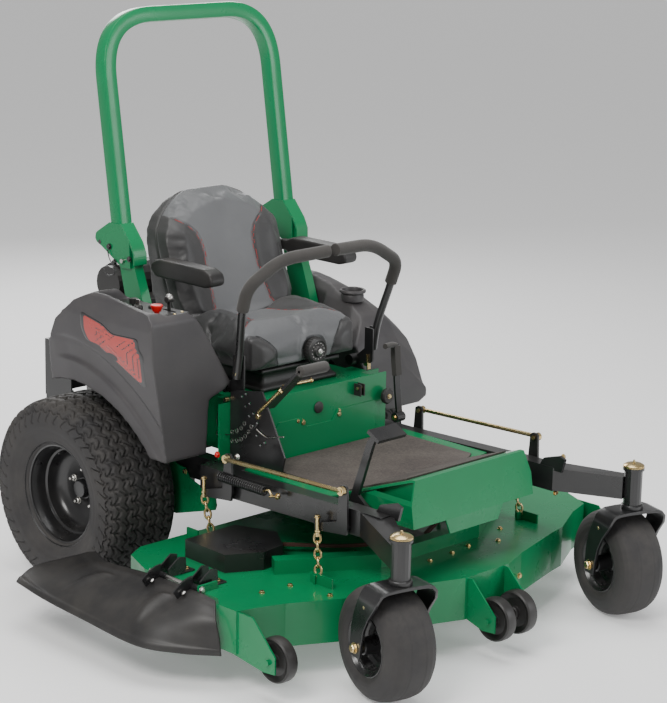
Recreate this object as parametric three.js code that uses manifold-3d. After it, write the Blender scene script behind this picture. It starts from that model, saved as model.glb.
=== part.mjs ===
// Zero turn riding mower with a folding roll bar, a front caster suspension arm on each side
// and a side-discharge cutting deck. Millimetres, +Z up, front towards -Y, operator's right at -X.
import * as THREE from 'three';
import { mergeVertices } from 'three/addons/utils/BufferGeometryUtils.js';
import { ConvexGeometry } from 'three/addons/geometries/ConvexGeometry.js';
import Module from 'manifold-3d';

const wasm = await Module();
wasm.setup();

// ---- Driving dimensions, in the machine frame: x = 0 mid-plane, y = 0 rear axle, z = 0 ground ----
const GAP = 0.4; // between faces that touch
const RUNNING = 0.6; // round a shaft that turns
const SHEET = 5; // sheet steel

const REAR_TYRE_R = 305;
const REAR_TYRE_W = 264;
const REAR_RIM_R = 152;
const FLANGE = 12; // rim flange above the bead seat
const REAR_TRACK = 513; // wheel centre from the mid-plane
const CASTER_TYRE_R = 165;
const CASTER_TYRE_W = 158;
const CASTER_RIM_R = 78;
const CASTER_X = 509;
const CASTER_Y = -1369;
const CASTER_TRAIL = 61;
const AXLE_R = 9.5;
const CASTER_YAW_RIGHT = -13.55;
const CASTER_YAW_LEFT = -19;

const RAIL_TOP = 455;
const RAIL_H = 75;
const RAIL_INNER = 300;
const RAIL_W = 50;
const RAIL_FRONT = -545;
const RAIL_REAR = 385;
const FRONT_RAIL_W = 50;
const FRONT_RAIL_REAR = -420;
const FRONT_RAIL_END = -1165;
const FRONT_RAIL_RISE = 15;
const PIVOT_TUBE_R = 28;
const PIVOT_TUBE_Z = [353, 475];
const KINGPIN_R = 14;

const PAN_HALF = 345;
const PANEL_HALF = 262;
const PAN_FLOOR_Z = 456;
const RAMP_Y = -928;
const PANEL_Y = -1156;
const PANEL_TOP = 541;
const PANEL_BOTTOM = 405;
const MAT_T = 5;

const BOX_HALF = 262;
const BOX_FRONT = -560;
const BOX_REAR = -110;
const BOX_TOP = 640;
const BOX_LIP = 664;

const HOOP_HALF = 373;
const HOOP_TUBE = 50;
const HOOP_TOP = 1787;
const HOOP_CORNER_R = 190;
const HOOP_LEAN = 9;
const HOOP_PIVOT = [-27, 1022];
const HOOP_PIN_R = 9;

const FENDER_OUTER = 620;
const FENDER_TOP = 950;
const FENDER_FRONT = -448;
const ARCH_R = 386;
const ARCH_Y = -45;
const ARCH_Z = 290;
const PANEL_TOP_Z = 938; // top face of the control panel, let into the fender
const PANEL_T = 8;
const PANEL_CORNERS = [[-590, -160], [-470, -160], [-450, -424], [-548, -430], [-588, -396]];
const PTO_KNOB = [-539, -380];
const CHOKE_KNOB = [-520, -250];
const THROTTLE = [-484, -372];

const DECK_TOP = 236;
const DECK_BOTTOM = 108;
const DECK_WALL = 6;
const BLADE_R = 258;
const BLADE_Z = 126;
const SPINDLE_X = 468;
const SPINDLE_Y = -690;
const CENTRE_SPINDLE_Y = -918;
const PULLEY_R = 52;
const CHUTE_HINGE = [-752, 246];
const CHUTE_TONGUES = [-789, -651];
const SCALP_R = 66;
const SCALP_W = 50;
const SCALP_Z = 121;
const BEAM_H = 42;
const COVER_H = 55;

const SHAFT_R = 12.7;
const REAR_SHAFT = [-567, 400];
const FRONT_SHAFT = [-1055, 415];
const EAR_H = 110;
const ARM_L = 104;
const CRANK_X = 422;

const LEVER_PIVOT = [-465, 719];
const LEVER_X = 284;
const BAR_R = 12.5;
const GRIP_R = 19.5;

const ARM_PIVOT = [-72, 1004];
const SEAT_HALF = 240;
const SEAT_FRONT = -478;
const SEAT_BOTTOM = 716;
const SEAT_TOP = 838;

// ---- Solids ----
const UP = new THREE.Vector3(0, 1, 0);

// A closed geometry as a solid that can be cut and joined.
function solid(geometry) {
  const bare = geometry.index ? geometry.toNonIndexed() : geometry.clone();
  Object.keys(bare.attributes).filter((key) => key !== 'position')
    .forEach((key) => bare.deleteAttribute(key));
  const merged = mergeVertices(bare, 1e-3);
  const index = merged.index.array;
  const triVerts = [];
  for (let i = 0; i < index.length; i += 3) {
    const [a, b, c] = [index[i], index[i + 1], index[i + 2]];
    if (a !== b && b !== c && c !== a) triVerts.push(a, b, c);
  }
  return new wasm.Manifold(new wasm.Mesh({
    numProp: 3,
    vertProperties: merged.attributes.position.array,
    triVerts: new Uint32Array(triVerts),
  }));
}

const join = (...parts) => parts.reduce((whole, part) => whole.add(part));
const cut = (body, ...tools) => tools.reduce((whole, tool) => whole.subtract(tool), body);

const box = (x0, x1, y0, y1, z0, z1) => solid(
  new THREE.BoxGeometry(x1 - x0, y1 - y0, z1 - z0).translate((x0 + x1) / 2, (y0 + y1) / 2, (z0 + z1) / 2),
);

// A round bar between two points.
function rod(from, to, radius, sides = 16) {
  const start = new THREE.Vector3(...from);
  const along = new THREE.Vector3(...to).sub(start);
  const bar = new THREE.CylinderGeometry(radius, radius, along.length(), sides);
  bar.applyQuaternion(new THREE.Quaternion().setFromUnitVectors(UP, along.clone().normalize()));
  return solid(bar.translate(...start.addScaledVector(along, 0.5).toArray()));
}

const hull = (points) => solid(new ConvexGeometry(points.map((point) => new THREE.Vector3(...point))));

const shape = (outline) => new THREE.Shape(outline.map(([u, v]) => new THREE.Vector2(u, v)));

const flat = (outline, depth) => new THREE.ExtrudeGeometry(shape(outline), { depth, bevelEnabled: false });

// Plates from an outline: across X from (y, z), across Y from (x, z), across Z from (x, y).
const plateX = (outline, x0, x1) => solid(
  flat(outline, x1 - x0).rotateX(Math.PI / 2).rotateZ(Math.PI / 2).translate(x0, 0, 0),
);
const plateY = (outline, y0, y1) => solid(flat(outline, y1 - y0).rotateX(Math.PI / 2).translate(0, y1, 0));
const plateZ = (outline, z0, z1) => solid(flat(outline, z1 - z0).translate(0, 0, z0));

// Points of an arc about (u, v), in degrees.
function arc(u, v, radius, from, to, steps) {
  return Array.from({ length: steps + 1 }, (_, i) => {
    const angle = THREE.MathUtils.degToRad(from + ((to - from) * i) / steps);
    return [u + radius * Math.cos(angle), v + radius * Math.sin(angle)];
  });
}

// A turned solid from (radius, height) pairs that run up its outside, about Z.
const turned = (profile, sides) => solid(
  new THREE.LatheGeometry(shape(profile).getPoints(), sides).rotateX(Math.PI / 2),
);

// A constant section swept along straight runs joined by bends.
function swept(points, bend, section, steps) {
  const corners = points.map((point) => new THREE.Vector3(...point));
  const path = new THREE.CurvePath();
  let from = corners[0];
  corners.slice(1, -1).forEach((corner, i) => {
    const back = corners[i].clone().sub(corner);
    const ahead = corners[i + 2].clone().sub(corner);
    const enter = corner.clone().addScaledVector(back.normalize(), bend);
    const leave = corner.clone().addScaledVector(ahead.normalize(), bend);
    path.add(new THREE.LineCurve3(from, enter));
    path.add(new THREE.QuadraticBezierCurve3(enter, corner, leave));
    from = leave;
  });
  path.add(new THREE.LineCurve3(from, corners.at(-1)));
  return solid(new THREE.ExtrudeGeometry(section, { steps, extrudePath: path, bevelEnabled: false }));
}

const roundSection = (radius, sides) => shape(arc(0, 0, radius, 0, 360, sides).slice(0, -1));
const squareSection = (side) => shape([[-1, -1], [1, -1], [1, 1], [-1, 1]].map(([u, v]) => [u * side / 2,
  v * side / 2]));

// An outline moved inwards by a distance, corner by corner; the outline runs anticlockwise.
function inset(outline, distance) {
  return outline.map((point, i) => {
    const before = new THREE.Vector2(...outline.at(i - 1));
    const here = new THREE.Vector2(...point);
    const after = new THREE.Vector2(...outline[(i + 1) % outline.length]);
    const first = here.clone().sub(before).normalize();
    const second = after.clone().sub(here).normalize();
    const normal = new THREE.Vector2(-first.y - second.y, first.x + second.x).normalize();
    const reach = distance / Math.max(0.3, normal.dot(new THREE.Vector2(-first.y, first.x)));
    return here.addScaledVector(normal, reach).toArray();
  });
}

// ---- Materials ----
const finish = (color, roughness, metalness) => () => new THREE.MeshStandardMaterial({ color, roughness,
  metalness });
const green = finish(0x00824b, 0.35, 0.1);
const blackSteel = finish(0x141415, 0.35, 0.3);
const charcoal = finish(0x444346, 0.7, 0);
const blackPlastic = finish(0x1b1b1c, 0.6, 0);
const rubber = finish(0x262628, 0.9, 0);
const vinyl = finish(0x5c5e62, 0.6, 0);
const foam = finish(0x343230, 0.95, 0);
const zinc = finish(0xb8965a, 0.4, 0.9);
const bladeSteel = finish(0x50504f, 0.5, 0.8);
const castMetal = finish(0x6f7174, 0.5, 0.7);
const red = finish(0xc01818, 0.4, 0);

const machine = new THREE.Group();

// A named mesh of a solid, in its own material, added to a group.
function add(name, made, material, group = machine) {
  const { vertProperties, triVerts } = made.getMesh();
  const geometry = new THREE.BufferGeometry();
  geometry.setAttribute('position', new THREE.BufferAttribute(new Float32Array(vertProperties), 3));
  geometry.setIndex(new THREE.BufferAttribute(new Uint32Array(triVerts), 1));
  geometry.computeVertexNormals();
  const mesh = new THREE.Mesh(geometry, material());
  mesh.name = name;
  group.add(mesh);
  return mesh;
}

const SIDES = [['right', -1], ['left', 1]];
const RAIL_BOTTOM = RAIL_TOP - RAIL_H;
const RAIL_OUTER = RAIL_INNER + RAIL_W;
const FRONT_RAIL_IN = RAIL_OUTER + GAP;
const FRONT_RAIL_OUT = FRONT_RAIL_IN + FRONT_RAIL_W;
const across = (side, a, b) => [side * a, side * b].sort((low, high) => low - high);

// ---- Chassis ----
function mainFrame() {
  const rails = SIDES.map(([, side]) => box(...across(side, RAIL_INNER, RAIL_OUTER), RAIL_FRONT, RAIL_REAR,
    RAIL_BOTTOM, RAIL_TOP));
  const crossTube = (y, width) => box(-RAIL_INNER - 5, RAIL_INNER + 5, y, y + width, RAIL_BOTTOM + 5,
    RAIL_TOP - 5);
  const engineDeck = box(-RAIL_OUTER, RAIL_OUTER, 70, RAIL_REAR, RAIL_TOP - 5, RAIL_TOP + SHEET);
  const hitch = box(-90, 90, RAIL_REAR - 15, RAIL_REAR + 10, 300, RAIL_TOP + SHEET);
  const bumper = box(-RAIL_OUTER, RAIL_OUTER, RAIL_REAR - 50, RAIL_REAR, RAIL_BOTTOM, RAIL_TOP);
  return join(...rails, crossTube(RAIL_FRONT, 50), crossTube(-120, 50), engineDeck, bumper, hitch);
}

function frontRail(side) {
  const rise = RAIL_TOP + FRONT_RAIL_RISE;
  const profile = [
    [FRONT_RAIL_REAR, RAIL_BOTTOM], [FRONT_RAIL_REAR, RAIL_TOP], [-550, RAIL_TOP], [-1050, rise],
    [FRONT_RAIL_END - 20, rise], [FRONT_RAIL_END - 20, rise - RAIL_H], [-1050, rise - RAIL_H],
    [-550, RAIL_BOTTOM],
  ];
  const beam = plateX(profile, ...across(side, FRONT_RAIL_IN, FRONT_RAIL_OUT));
  const corner = (x, y, z) => [side * x, y, z];
  const arm = hull([
    corner(FRONT_RAIL_IN, FRONT_RAIL_END + 60, rise - RAIL_H + 2),
      corner(FRONT_RAIL_IN, FRONT_RAIL_END + 60, rise - 2),
    corner(FRONT_RAIL_OUT, FRONT_RAIL_END + 60, rise - RAIL_H + 2),
      corner(FRONT_RAIL_OUT, FRONT_RAIL_END + 60, rise - 2),
    corner(CASTER_X - 36, CASTER_Y + 12, rise - RAIL_H - 10), corner(CASTER_X - 36, CASTER_Y + 12,
      rise - 16),
    corner(CASTER_X + 10, CASTER_Y + 24, rise - RAIL_H - 10), corner(CASTER_X + 10, CASTER_Y + 24,
      rise - 16),
    corner(FRONT_RAIL_IN, FRONT_RAIL_END - 20, rise - RAIL_H + 2),
      corner(FRONT_RAIL_IN, FRONT_RAIL_END - 20, rise - 2),
  ]);
  const gusset = plateX([
    [FRONT_RAIL_END + 40, rise - 10], [FRONT_RAIL_END + 20, rise + 22], [FRONT_RAIL_END - 40, rise + 40],
    [FRONT_RAIL_END - 62, rise + 32], [FRONT_RAIL_END - 50, rise - 10],
  ], ...across(side, FRONT_RAIL_IN + 2, FRONT_RAIL_IN + 12));
  const capTop = PIVOT_TUBE_Z[1] + 7;
  const tube = rod([side * CASTER_X, CASTER_Y, PIVOT_TUBE_Z[0]],
    [side * CASTER_X, CASTER_Y, PIVOT_TUBE_Z[1]], PIVOT_TUBE_R, 16);
  const cap = rod([side * CASTER_X, CASTER_Y, PIVOT_TUBE_Z[1] - 1], [side * CASTER_X, CASTER_Y, capTop],
    PIVOT_TUBE_R + 5, 16);
  const bore = rod([side * CASTER_X, CASTER_Y, 300], [side * CASTER_X, CASTER_Y, PIVOT_TUBE_Z[1] - 4],
    KINGPIN_R + RUNNING, 14);
  const shaftBore = ([y, z]) => rod([side * 300, y, z], [side * 450, y, z], SHAFT_R + 1, 12);
  return cut(join(beam, arm, gusset, tube, cap), bore, shaftBore(REAR_SHAFT), shaftBore(FRONT_SHAFT));
}

function footPan() {
  const floor = [
    [BOX_FRONT - GAP, PAN_FLOOR_Z], [BOX_FRONT - GAP, PAN_FLOOR_Z + SHEET], [RAMP_Y, PAN_FLOOR_Z + SHEET],
    [PANEL_Y + 8, PANEL_TOP], [PANEL_Y - 6, PANEL_TOP], [PANEL_Y - 28, PANEL_BOTTOM], [PANEL_Y - 28, 360],
    [PANEL_Y - 23, 360], [PANEL_Y - 23, PANEL_BOTTOM], [PANEL_Y - 2, PANEL_TOP - SHEET - 2],
    [PANEL_Y + 6, PANEL_TOP - SHEET - 2], [RAMP_Y - 3, PAN_FLOOR_Z],
  ];
  const flange = [
    [RAMP_Y - 30, PAN_FLOOR_Z + 2], [PANEL_Y + 4, PANEL_TOP - 2], [PANEL_Y - 4, PANEL_TOP - 2],
    [PANEL_Y - 26, PANEL_BOTTOM], [PANEL_Y + 76, PANEL_BOTTOM],
  ];
  const plan = plateZ([
    [-PAN_HALF, BOX_FRONT + 50], [-PAN_HALF, RAMP_Y + 5], [-PANEL_HALF, RAMP_Y - 15],
    [-PANEL_HALF, PANEL_Y - 40],
    [PANEL_HALF, PANEL_Y - 40], [PANEL_HALF, RAMP_Y - 15], [PAN_HALF, RAMP_Y + 5],
    [PAN_HALF, BOX_FRONT + 50],
  ], 300, 600);
  const face = plateY([
    [-400, 470], [-PANEL_HALF, 470], [-236, PANEL_TOP + 5], [236, PANEL_TOP + 5], [PANEL_HALF, 470],
    [400, 470],
    [400, PANEL_BOTTOM], [125, PANEL_BOTTOM], [100, 350], [-100, 350], [-125, PANEL_BOTTOM],
    [-400, PANEL_BOTTOM],
  ], PANEL_Y - 60, BOX_FRONT + 60);
  const sides = SIDES.map(([, side]) => plateX(flange, ...across(side, 228, 233)));
  const cheeks = SIDES.map(([, side]) => plateX(flange, ...across(side, PANEL_HALF - 30, PANEL_HALF)));
  const shell = join(plateX(floor, -PAN_HALF, PAN_HALF), ...sides).intersect(plan).intersect(face);
  const edge = join(...cheeks).intersect(face);
  const hollow = box(-PANEL_HALF + 5, PANEL_HALF - 5, PANEL_Y - 60, RAMP_Y, 300, 600);
  const bore = rod([-400, ...FRONT_SHAFT], [400, ...FRONT_SHAFT], SHAFT_R + 3, 16);
  return cut(join(shell, cut(edge, hollow)), bore);
}

function floorMat() {
  const low = PAN_FLOOR_Z + SHEET + GAP;
  const slope = (PANEL_TOP - PAN_FLOOR_Z - SHEET) / (PANEL_Y + 8 - RAMP_Y);
  const reach = 180;
  const profile = [
    [BOX_FRONT - 16, low], [BOX_FRONT - 16, low + MAT_T], [RAMP_Y, low + MAT_T],
    [RAMP_Y - reach, low + MAT_T - slope * reach],
    [RAMP_Y - reach, low - slope * reach], [RAMP_Y, low],
  ];
  const plan = plateZ([
    [-288, BOX_FRONT + 50], [-288, RAMP_Y + 20], [-225, RAMP_Y - 20], [-215, PANEL_Y],
    [215, PANEL_Y], [225, RAMP_Y - 20], [288, RAMP_Y + 20], [288, BOX_FRONT + 50],
  ], 300, 600);
  return plateX(profile, -340, 340).intersect(plan);
}

function seatBox() {
  const floor = PAN_FLOOR_Z + SHEET + GAP;
  const outer = box(-BOX_HALF, BOX_HALF, BOX_FRONT, BOX_REAR, floor, BOX_TOP);
  const inner = box(-BOX_HALF + SHEET, BOX_HALF - SHEET, BOX_FRONT + SHEET, BOX_REAR - SHEET, floor - 10,
    BOX_TOP - SHEET);
  const lip = box(-BOX_HALF, BOX_HALF, BOX_FRONT, BOX_FRONT + SHEET, BOX_TOP - 2, BOX_LIP);
  const lower = plateY([
    [-206, floor], [206, floor], [226, 560], [205, 580], [45, 580], [20, 548], [-90, 548], [-115, 580],
    [-205, 580], [-226, 560],
  ], BOX_FRONT - 4, BOX_FRONT + 2);
  const plug = rod([-39, BOX_FRONT - 3, 600], [-39, BOX_FRONT + 20, 600], 17, 20);
  const wings = SIDES.map(([, side]) => join(
    box(...across(side, BOX_HALF - 2, BOX_HALF + 30), LEVER_PIVOT[0] + 14, LEVER_PIVOT[0] + 90,
      BOX_TOP - SHEET, BOX_TOP),
    box(...across(side, BOX_HALF - 2, RAIL_OUTER - 4), LEVER_PIVOT[0] + 20, LEVER_PIVOT[0] + 25,
      RAIL_TOP + 8, BOX_TOP - 2),
  ));
  return cut(join(outer, lip, lower, ...wings), inner, plug);
}

// The clearance for the rear tyre under a fender.
const archTool = () => rod([-700, ARCH_Y, ARCH_Z], [700, ARCH_Y, ARCH_Z], ARCH_R, 40);

// The clearance for the roll bar post beside a fender.
const postPocket = (side) => box(...across(side, 290, HOOP_HALF + 4), -166, 300, 400, 1100);

const panelOutline = (grow) => PANEL_CORNERS.map(([x, y]) => [
  x + Math.sign(x + 520) * grow, y + Math.sign(y + 290) * grow,
]);

function fenderRight() {
  const profile = [
    [FENDER_FRONT, 492], [FENDER_FRONT, FENDER_TOP - 28], [FENDER_FRONT + 24, FENDER_TOP],
    [-330, FENDER_TOP + 12], [-190, FENDER_TOP + 32], [-160, FENDER_TOP + 28], [-75, 940], [15, 868],
    [52, 790], [64, 720], [66, 640], [-45, 492],
  ];
  const face = [
    [-399, 470], [-562, 485], [-590, 660], [-614, 800], [-FENDER_OUTER, 900], [-614, FENDER_TOP + 12],
    [-590, FENDER_TOP + 32], [-500, FENDER_TOP + 20], [-442, 922], [-424, 900], [-378, 830], [-300, 702],
    [-330, 680], [-388, 661],
  ];
  const body = plateX(profile, -640, -300).intersect(plateY(face, -700, 300));
  const recess = plateZ(panelOutline(GAP), PANEL_TOP_Z - PANEL_T - GAP, 1100);
  return cut(body, archTool(), postPocket(-1), recess);
}

// The left fender falls away forwards and outwards: each station gives y and its crest height.
function fenderLeft() {
  const stations = [[70, 800], [40, 886], [-60, 886], [-166, 863], [-290, 816], [-337, 784], [-381, 722],
    [-415, 645], [-432, 560]];
  const section = ([y, crest]) => {
    const low = 485;
    const fall = Math.max(0.35, (crest - low) / 380);
    return [
      [399, low], [562, low], [596, low + 120 * fall], [600, Math.max(low + 20, crest - 108)],
      [562, Math.max(low + 30, crest - 76)],
      [500, crest - 26], [440, crest], [400, crest + 2], [372, Math.min(crest, 835)],
      [302, Math.min(crest - 10, 702)],
      [330, Math.min(crest - 20, 680)], [388, Math.min(crest - 30, 655)],
    ].map(([x, z]) => [x, y, z]);
  };
  const slices = stations.slice(1).map((station, i) => hull([...section(stations[i]),
    ...section(station)]));
  return cut(join(...slices), archTool(), postPocket(1));
}

function rollPost(side) {
  const [py, pz] = HOOP_PIVOT;
  const lowZ = RAIL_TOP + GAP;
  const outline = [
    [-150, lowZ], [-20, lowZ], [-20, 760], [py + 4, 900], ...arc(py, pz, 40, -40, 200, 8), [py - 80, 900],
    [-150, 780],
  ];
  const post = plateX(outline, ...across(side, HOOP_HALF - HOOP_TUBE + 8, HOOP_HALF - 8));
  const foot = box(...across(side, RAIL_INNER, HOOP_HALF - 8), -160, 20, lowZ, lowZ + 10);
  const pin = rod([side * 300, py, pz], [side * 400, py, pz], HOOP_PIN_R + 1, 16);
  return cut(join(post, foot), pin);
}

function rollHoop() {
  const [py, pz] = HOOP_PIVOT;
  const lean = Math.tan(THREE.MathUtils.degToRad(HOOP_LEAN));
  const yAt = (z) => py + 44 + (z - 1134) * lean;
  const mid = HOOP_HALF - HOOP_TUBE / 2;
  const top = HOOP_TOP - HOOP_TUBE / 2;
  const tube = swept([
    [-mid, yAt(1080), 1080], [-mid, yAt(top), top], [mid, yAt(top), top], [mid, yAt(1080), 1080],
  ], HOOP_CORNER_R, squareSection(HOOP_TUBE), 28);
  const cheek = [
    [py - 30, pz - 22], [py + 10, pz - 24], [py + 110, pz + 30], [py + 141, pz + 48], [py + 132, pz + 75],
    [yAt(1134) + 26, 1134], [yAt(1134) - 26, 1134], [py - 26, pz + 60],
  ];
  const cheeks = SIDES.flatMap(([, side]) => [
    plateX(cheek, ...across(side, HOOP_HALF - 6, HOOP_HALF + 2)),
    plateX(cheek, ...across(side, HOOP_HALF - HOOP_TUBE - 2, HOOP_HALF - HOOP_TUBE + 6)),
  ]);
  const pins = SIDES.map(([, side]) => rod([side * (HOOP_HALF - HOOP_TUBE - 8), py, pz],
    [side * (HOOP_HALF + 14), py, pz], HOOP_PIN_R, 16));
  const corner = SIDES.map(([, side]) => box(...across(side, HOOP_HALF - HOOP_TUBE, HOOP_HALF),
    yAt(1100) - 24, yAt(1100) + 24, 1070, 1110));
  return join(tube, ...cheeks, ...pins, ...corner);
}

// ---- Power ----
function engineBlock() {
  const low = RAIL_TOP + SHEET + GAP;
  const crankcase = box(-130, 130, 90, 320, low, low + 190);
  const cylinders = SIDES.map(([, side]) => {
    const barrel = box(-70, 70, 0, 150, -75, 75);
    const fins = Array.from({ length: 5 }, (_, i) => box(-85, 85, 20 + i * 26, 30 + i * 26, -88, 88));
    return join(barrel, ...fins).rotate([0, 0, side * -62]).translate([side * 95, 190, low + 130]);
  });
  return join(crankcase, ...cylinders);
}

function engineShroud() {
  const low = RAIL_TOP + SHEET + GAP + 222;
  const housing = plateZ(arc(0, 215, 190, 0, 360, 20).slice(0, -1), low, low + 110);
  const screen = rod([0, 215, low + 100], [0, 215, low + 150], 125, 20);
  const airCleaner = rod([-150, 300, low + 185], [130, 300, low + 185], 68, 18);
  const cap = rod([-175, 300, low + 185], [-148, 300, low + 185], 60, 20);
  const neck = box(-60, 60, 250, 340, low + 90, low + 160);
  return join(housing, screen, airCleaner, cap, neck);
}

function muffler() {
  const low = RAIL_TOP + SHEET + GAP + 12;
  const body = rod([-190, 0, 0], [190, 0, 0], 34, 20).translate([0, 368 - 2, low + 26]);
  const pipe = rod([150, 366, low + 26], [215, 366, low + 26], 16, 12);
  const feet = SIDES.map(([, side]) => box(...across(side, 120, 150), 346, 382, RAIL_TOP + SHEET + GAP,
    low + 20));
  return join(body, pipe, ...feet);
}

function rearGuard() {
  const face = RAIL_REAR + 12;
  const back = cut(
    box(-RAIL_OUTER, RAIL_OUTER, face + 12, face + 18, 500, 690),
    ...[0, 1, 2, 3].map((row) => box(-220, 220, face, face + 40, 530 + row * 38, 548 + row * 38)),
  );
  const stays = SIDES.map(([, side]) => box(...across(side, RAIL_OUTER - 50, RAIL_OUTER), face - 70,
    face + 14, RAIL_TOP + SHEET + GAP, 520));
  const wings = SIDES.map(([, side]) => box(...across(side, RAIL_OUTER - 6, RAIL_OUTER), face - 120,
    face + 18, 500, 690));
  return join(back, ...stays, ...wings);
}

function hydro(side) {
  const top = RAIL_BOTTOM - GAP;
  const pump = box(...across(side, 150, 290), -110, 90, 215, top);
  const motor = rod([side * 200, 0, REAR_TYRE_R], [side * 352, 0, REAR_TYRE_R], 82, 16);
  const flange = box(...across(side, 285, 350), -28, 28, top - 12, top);
  const body = cut(join(pump, motor, flange), box(...across(side, 290, 400), -200, 200, top, 500));
  const axle = rod([side * 340, 0, REAR_TYRE_R], [side * (REAR_TRACK - 40), 0, REAR_TYRE_R], 19, 16);
  const fan = rod([side * 220, -30, 200], [side * 220, -30, 220], 60, 16);
  return join(body, axle, fan);
}

// ---- Seat ----
function seatSuspension() {
  const low = BOX_TOP + GAP;
  const base = box(-165, 165, -440, -130, low, low + 16);
  const bellows = [0, 1, 2].map((fold) => box(-150 + fold * 4, 150 - fold * 4, -425 + fold * 4,
    -145 - fold * 4, low + 14 + fold * 17, low + 33 + fold * 17));
  const top = box(-170, 170, -445, -130, low + 60, SEAT_BOTTOM - GAP);
  return join(base, ...bellows, top);
}

function seatCushion() {
  const profile = [
    [SEAT_FRONT + 20, SEAT_BOTTOM], [SEAT_FRONT, SEAT_BOTTOM + 25], [SEAT_FRONT + 6, SEAT_TOP - 45],
    [SEAT_FRONT + 34, SEAT_TOP - 10],
    [SEAT_FRONT + 90, SEAT_TOP + 4], [-290, SEAT_TOP - 8], [-150, SEAT_TOP - 16], [-150, SEAT_BOTTOM],
  ];
  const plan = plateZ([
    [-SEAT_HALF + 60, SEAT_FRONT - 10], [SEAT_HALF - 60, SEAT_FRONT - 10],
    [SEAT_HALF - 8, SEAT_FRONT + 30], [SEAT_HALF, SEAT_FRONT + 80],
    [SEAT_HALF, -130], [-SEAT_HALF, -130], [-SEAT_HALF, SEAT_FRONT + 80], [-SEAT_HALF + 8, SEAT_FRONT + 30],
  ], 600, 1000);
  const knobPocket = rod([KNOB[0], -500, KNOB[1]], [KNOB[0], SEAT_FRONT + 24, KNOB[1]], 50, 28);
  return cut(plateX(profile, -SEAT_HALF, SEAT_HALF).intersect(plan), knobPocket);
}

function seatBack() {
  const profile = [
    [-190, SEAT_TOP - 12], [-158, SEAT_TOP + 8], [-112, 950], [-70, 1080], [-36, 1180], [-10, 1218],
    [18, 1224], [42, 1206], [40, 1120],
    [16, 980], [0, 860], [-20, SEAT_BOTTOM + 20], [-60, SEAT_BOTTOM], [-149, SEAT_BOTTOM],
    [-149, SEAT_TOP - 12],
  ];
  const half = 250;
  const face = plateY([
    [-half + 36, 700], [half - 36, 700], [half, 900], [half, 1060], [half - 6, 1100], [half - 34, 1146],
    [half - 88, 1188],
    [half - 176, 1222], [-half + 176, 1222], [-half + 88, 1188], [-half + 34, 1146], [-half + 6, 1100],
    [-half, 1060], [-half, 900],
  ], -300, 200);
  return plateX(profile, -half, half).intersect(face);
}

function armrest(side) {
  const pad = plateX([
    [-372, 1000], [-362, 1022], [-330, 1034], [-120, 1034], [-84, 1018], [-78, 996], [-100, 976],
    [-340, 976], [-366, 984],
  ], ...across(side, 256, 316));
  const [y, z] = ARM_PIVOT;
  const hub = rod([side * 256, y, z], [side * 284, y, z], 20, 14);
  const link = box(...across(side, 260, 280), y - 28, y + 6, z - 16, z + 18);
  return join(pad, hub, link);
}

const KNOB = [35, 752];

function seatKnob() {
  const dial = turned([[0, 0], [36, 0], [42, 4], [42, 22], [37, 27], [16, 27], [12, 34], [0, 34]], 16);
  return dial.rotate([90, 0, 0]).translate([KNOB[0], SEAT_FRONT + 23, KNOB[1]]);
}

// ---- Steering ----
function leverBase(side) {
  const [py, pz] = LEVER_PIVOT;
  const upright = box(...across(side, LEVER_X - 8, LEVER_X - 2), py - 18, py + 18, pz - 40, pz + 68);
  const hub = rod([side * (BOX_HALF - 12), py + 60, 676], [side * (LEVER_X + 6), py + 60, 676], 17, 18);
  const link = hull([
    [side * (LEVER_X - 8), py - 18, pz - 38], [side * (LEVER_X - 2), py - 18, pz - 38],
    [side * (LEVER_X - 8), py + 18, pz - 2],
    [side * (LEVER_X - 2), py + 18, pz - 2], [side * (LEVER_X - 8), py + 74, 672],
    [side * (LEVER_X - 2), py + 74, 672],
    [side * (LEVER_X - 8), py + 52, 660], [side * (LEVER_X - 2), py + 52, 660],
    [side * (LEVER_X - 8), py - 10, pz - 46],
    [side * (LEVER_X - 2), py - 10, pz - 46],
  ]);
  return join(upright, hub, link);
}

function lapBar(side) {
  const [py, pz] = LEVER_PIVOT;
  const x = LEVER_X + BAR_R;
  const foot = [side * x, py, pz - 8];
  const knee = [side * x, py - 14, 800];
  const rise = [side * 319, -513, 930];
  const elbow = [side * 322, -540, 1012];
  const bend = [side * 196, -548, 1084];
  const tip = [side * 14, -566, 1090];
  const tube = swept([foot, knee, rise, [side * 320, -520, 960]], 20, roundSection(BAR_R, 8), 8);
  const grip = swept([[side * 319, -514, 940], elbow, bend, tip], 38, roundSection(GRIP_R, 8), 18);
  return join(tube, grip);
}

// ---- Wheels ----
// A tyre about its axle, with the beads left for the rim's flanges.
function tyre(bead, outer, width, shoulder, sides) {
  const half = width / 2;
  const flank = [[bead, half - 14], [bead + FLANGE + 4, half - 14], [(bead + outer) / 2, half],
    [outer - shoulder, half - 4], [outer, half - shoulder * 2]];
  const profile = [...flank.map(([r, h]) => [r, -h]), ...flank.reverse()];
  return turned([...profile, profile[0]], sides).rotate([0, 90, 0]);
}

// A wheel rim with flanges outside the beads and a dished disc.
function rim(bead, width, bore, dish, sides) {
  const half = width / 2 - 14 + RUNNING;
  const flange = bead + FLANGE;
  const seat = bead - GAP;
  const well = bead - 10;
  const profile = [
    [bore, dish - 6], [well, dish - 6], [well, -half - 6], [flange, -half - 6], [flange, -half],
    [seat, -half],
    [seat, half], [flange, half], [flange, half + 6], [well, half + 6], [well, dish + 8], [bore, dish + 8],
    [bore, dish - 6],
  ];
  return turned(profile, sides).rotate([0, 90, 0]);
}

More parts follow.
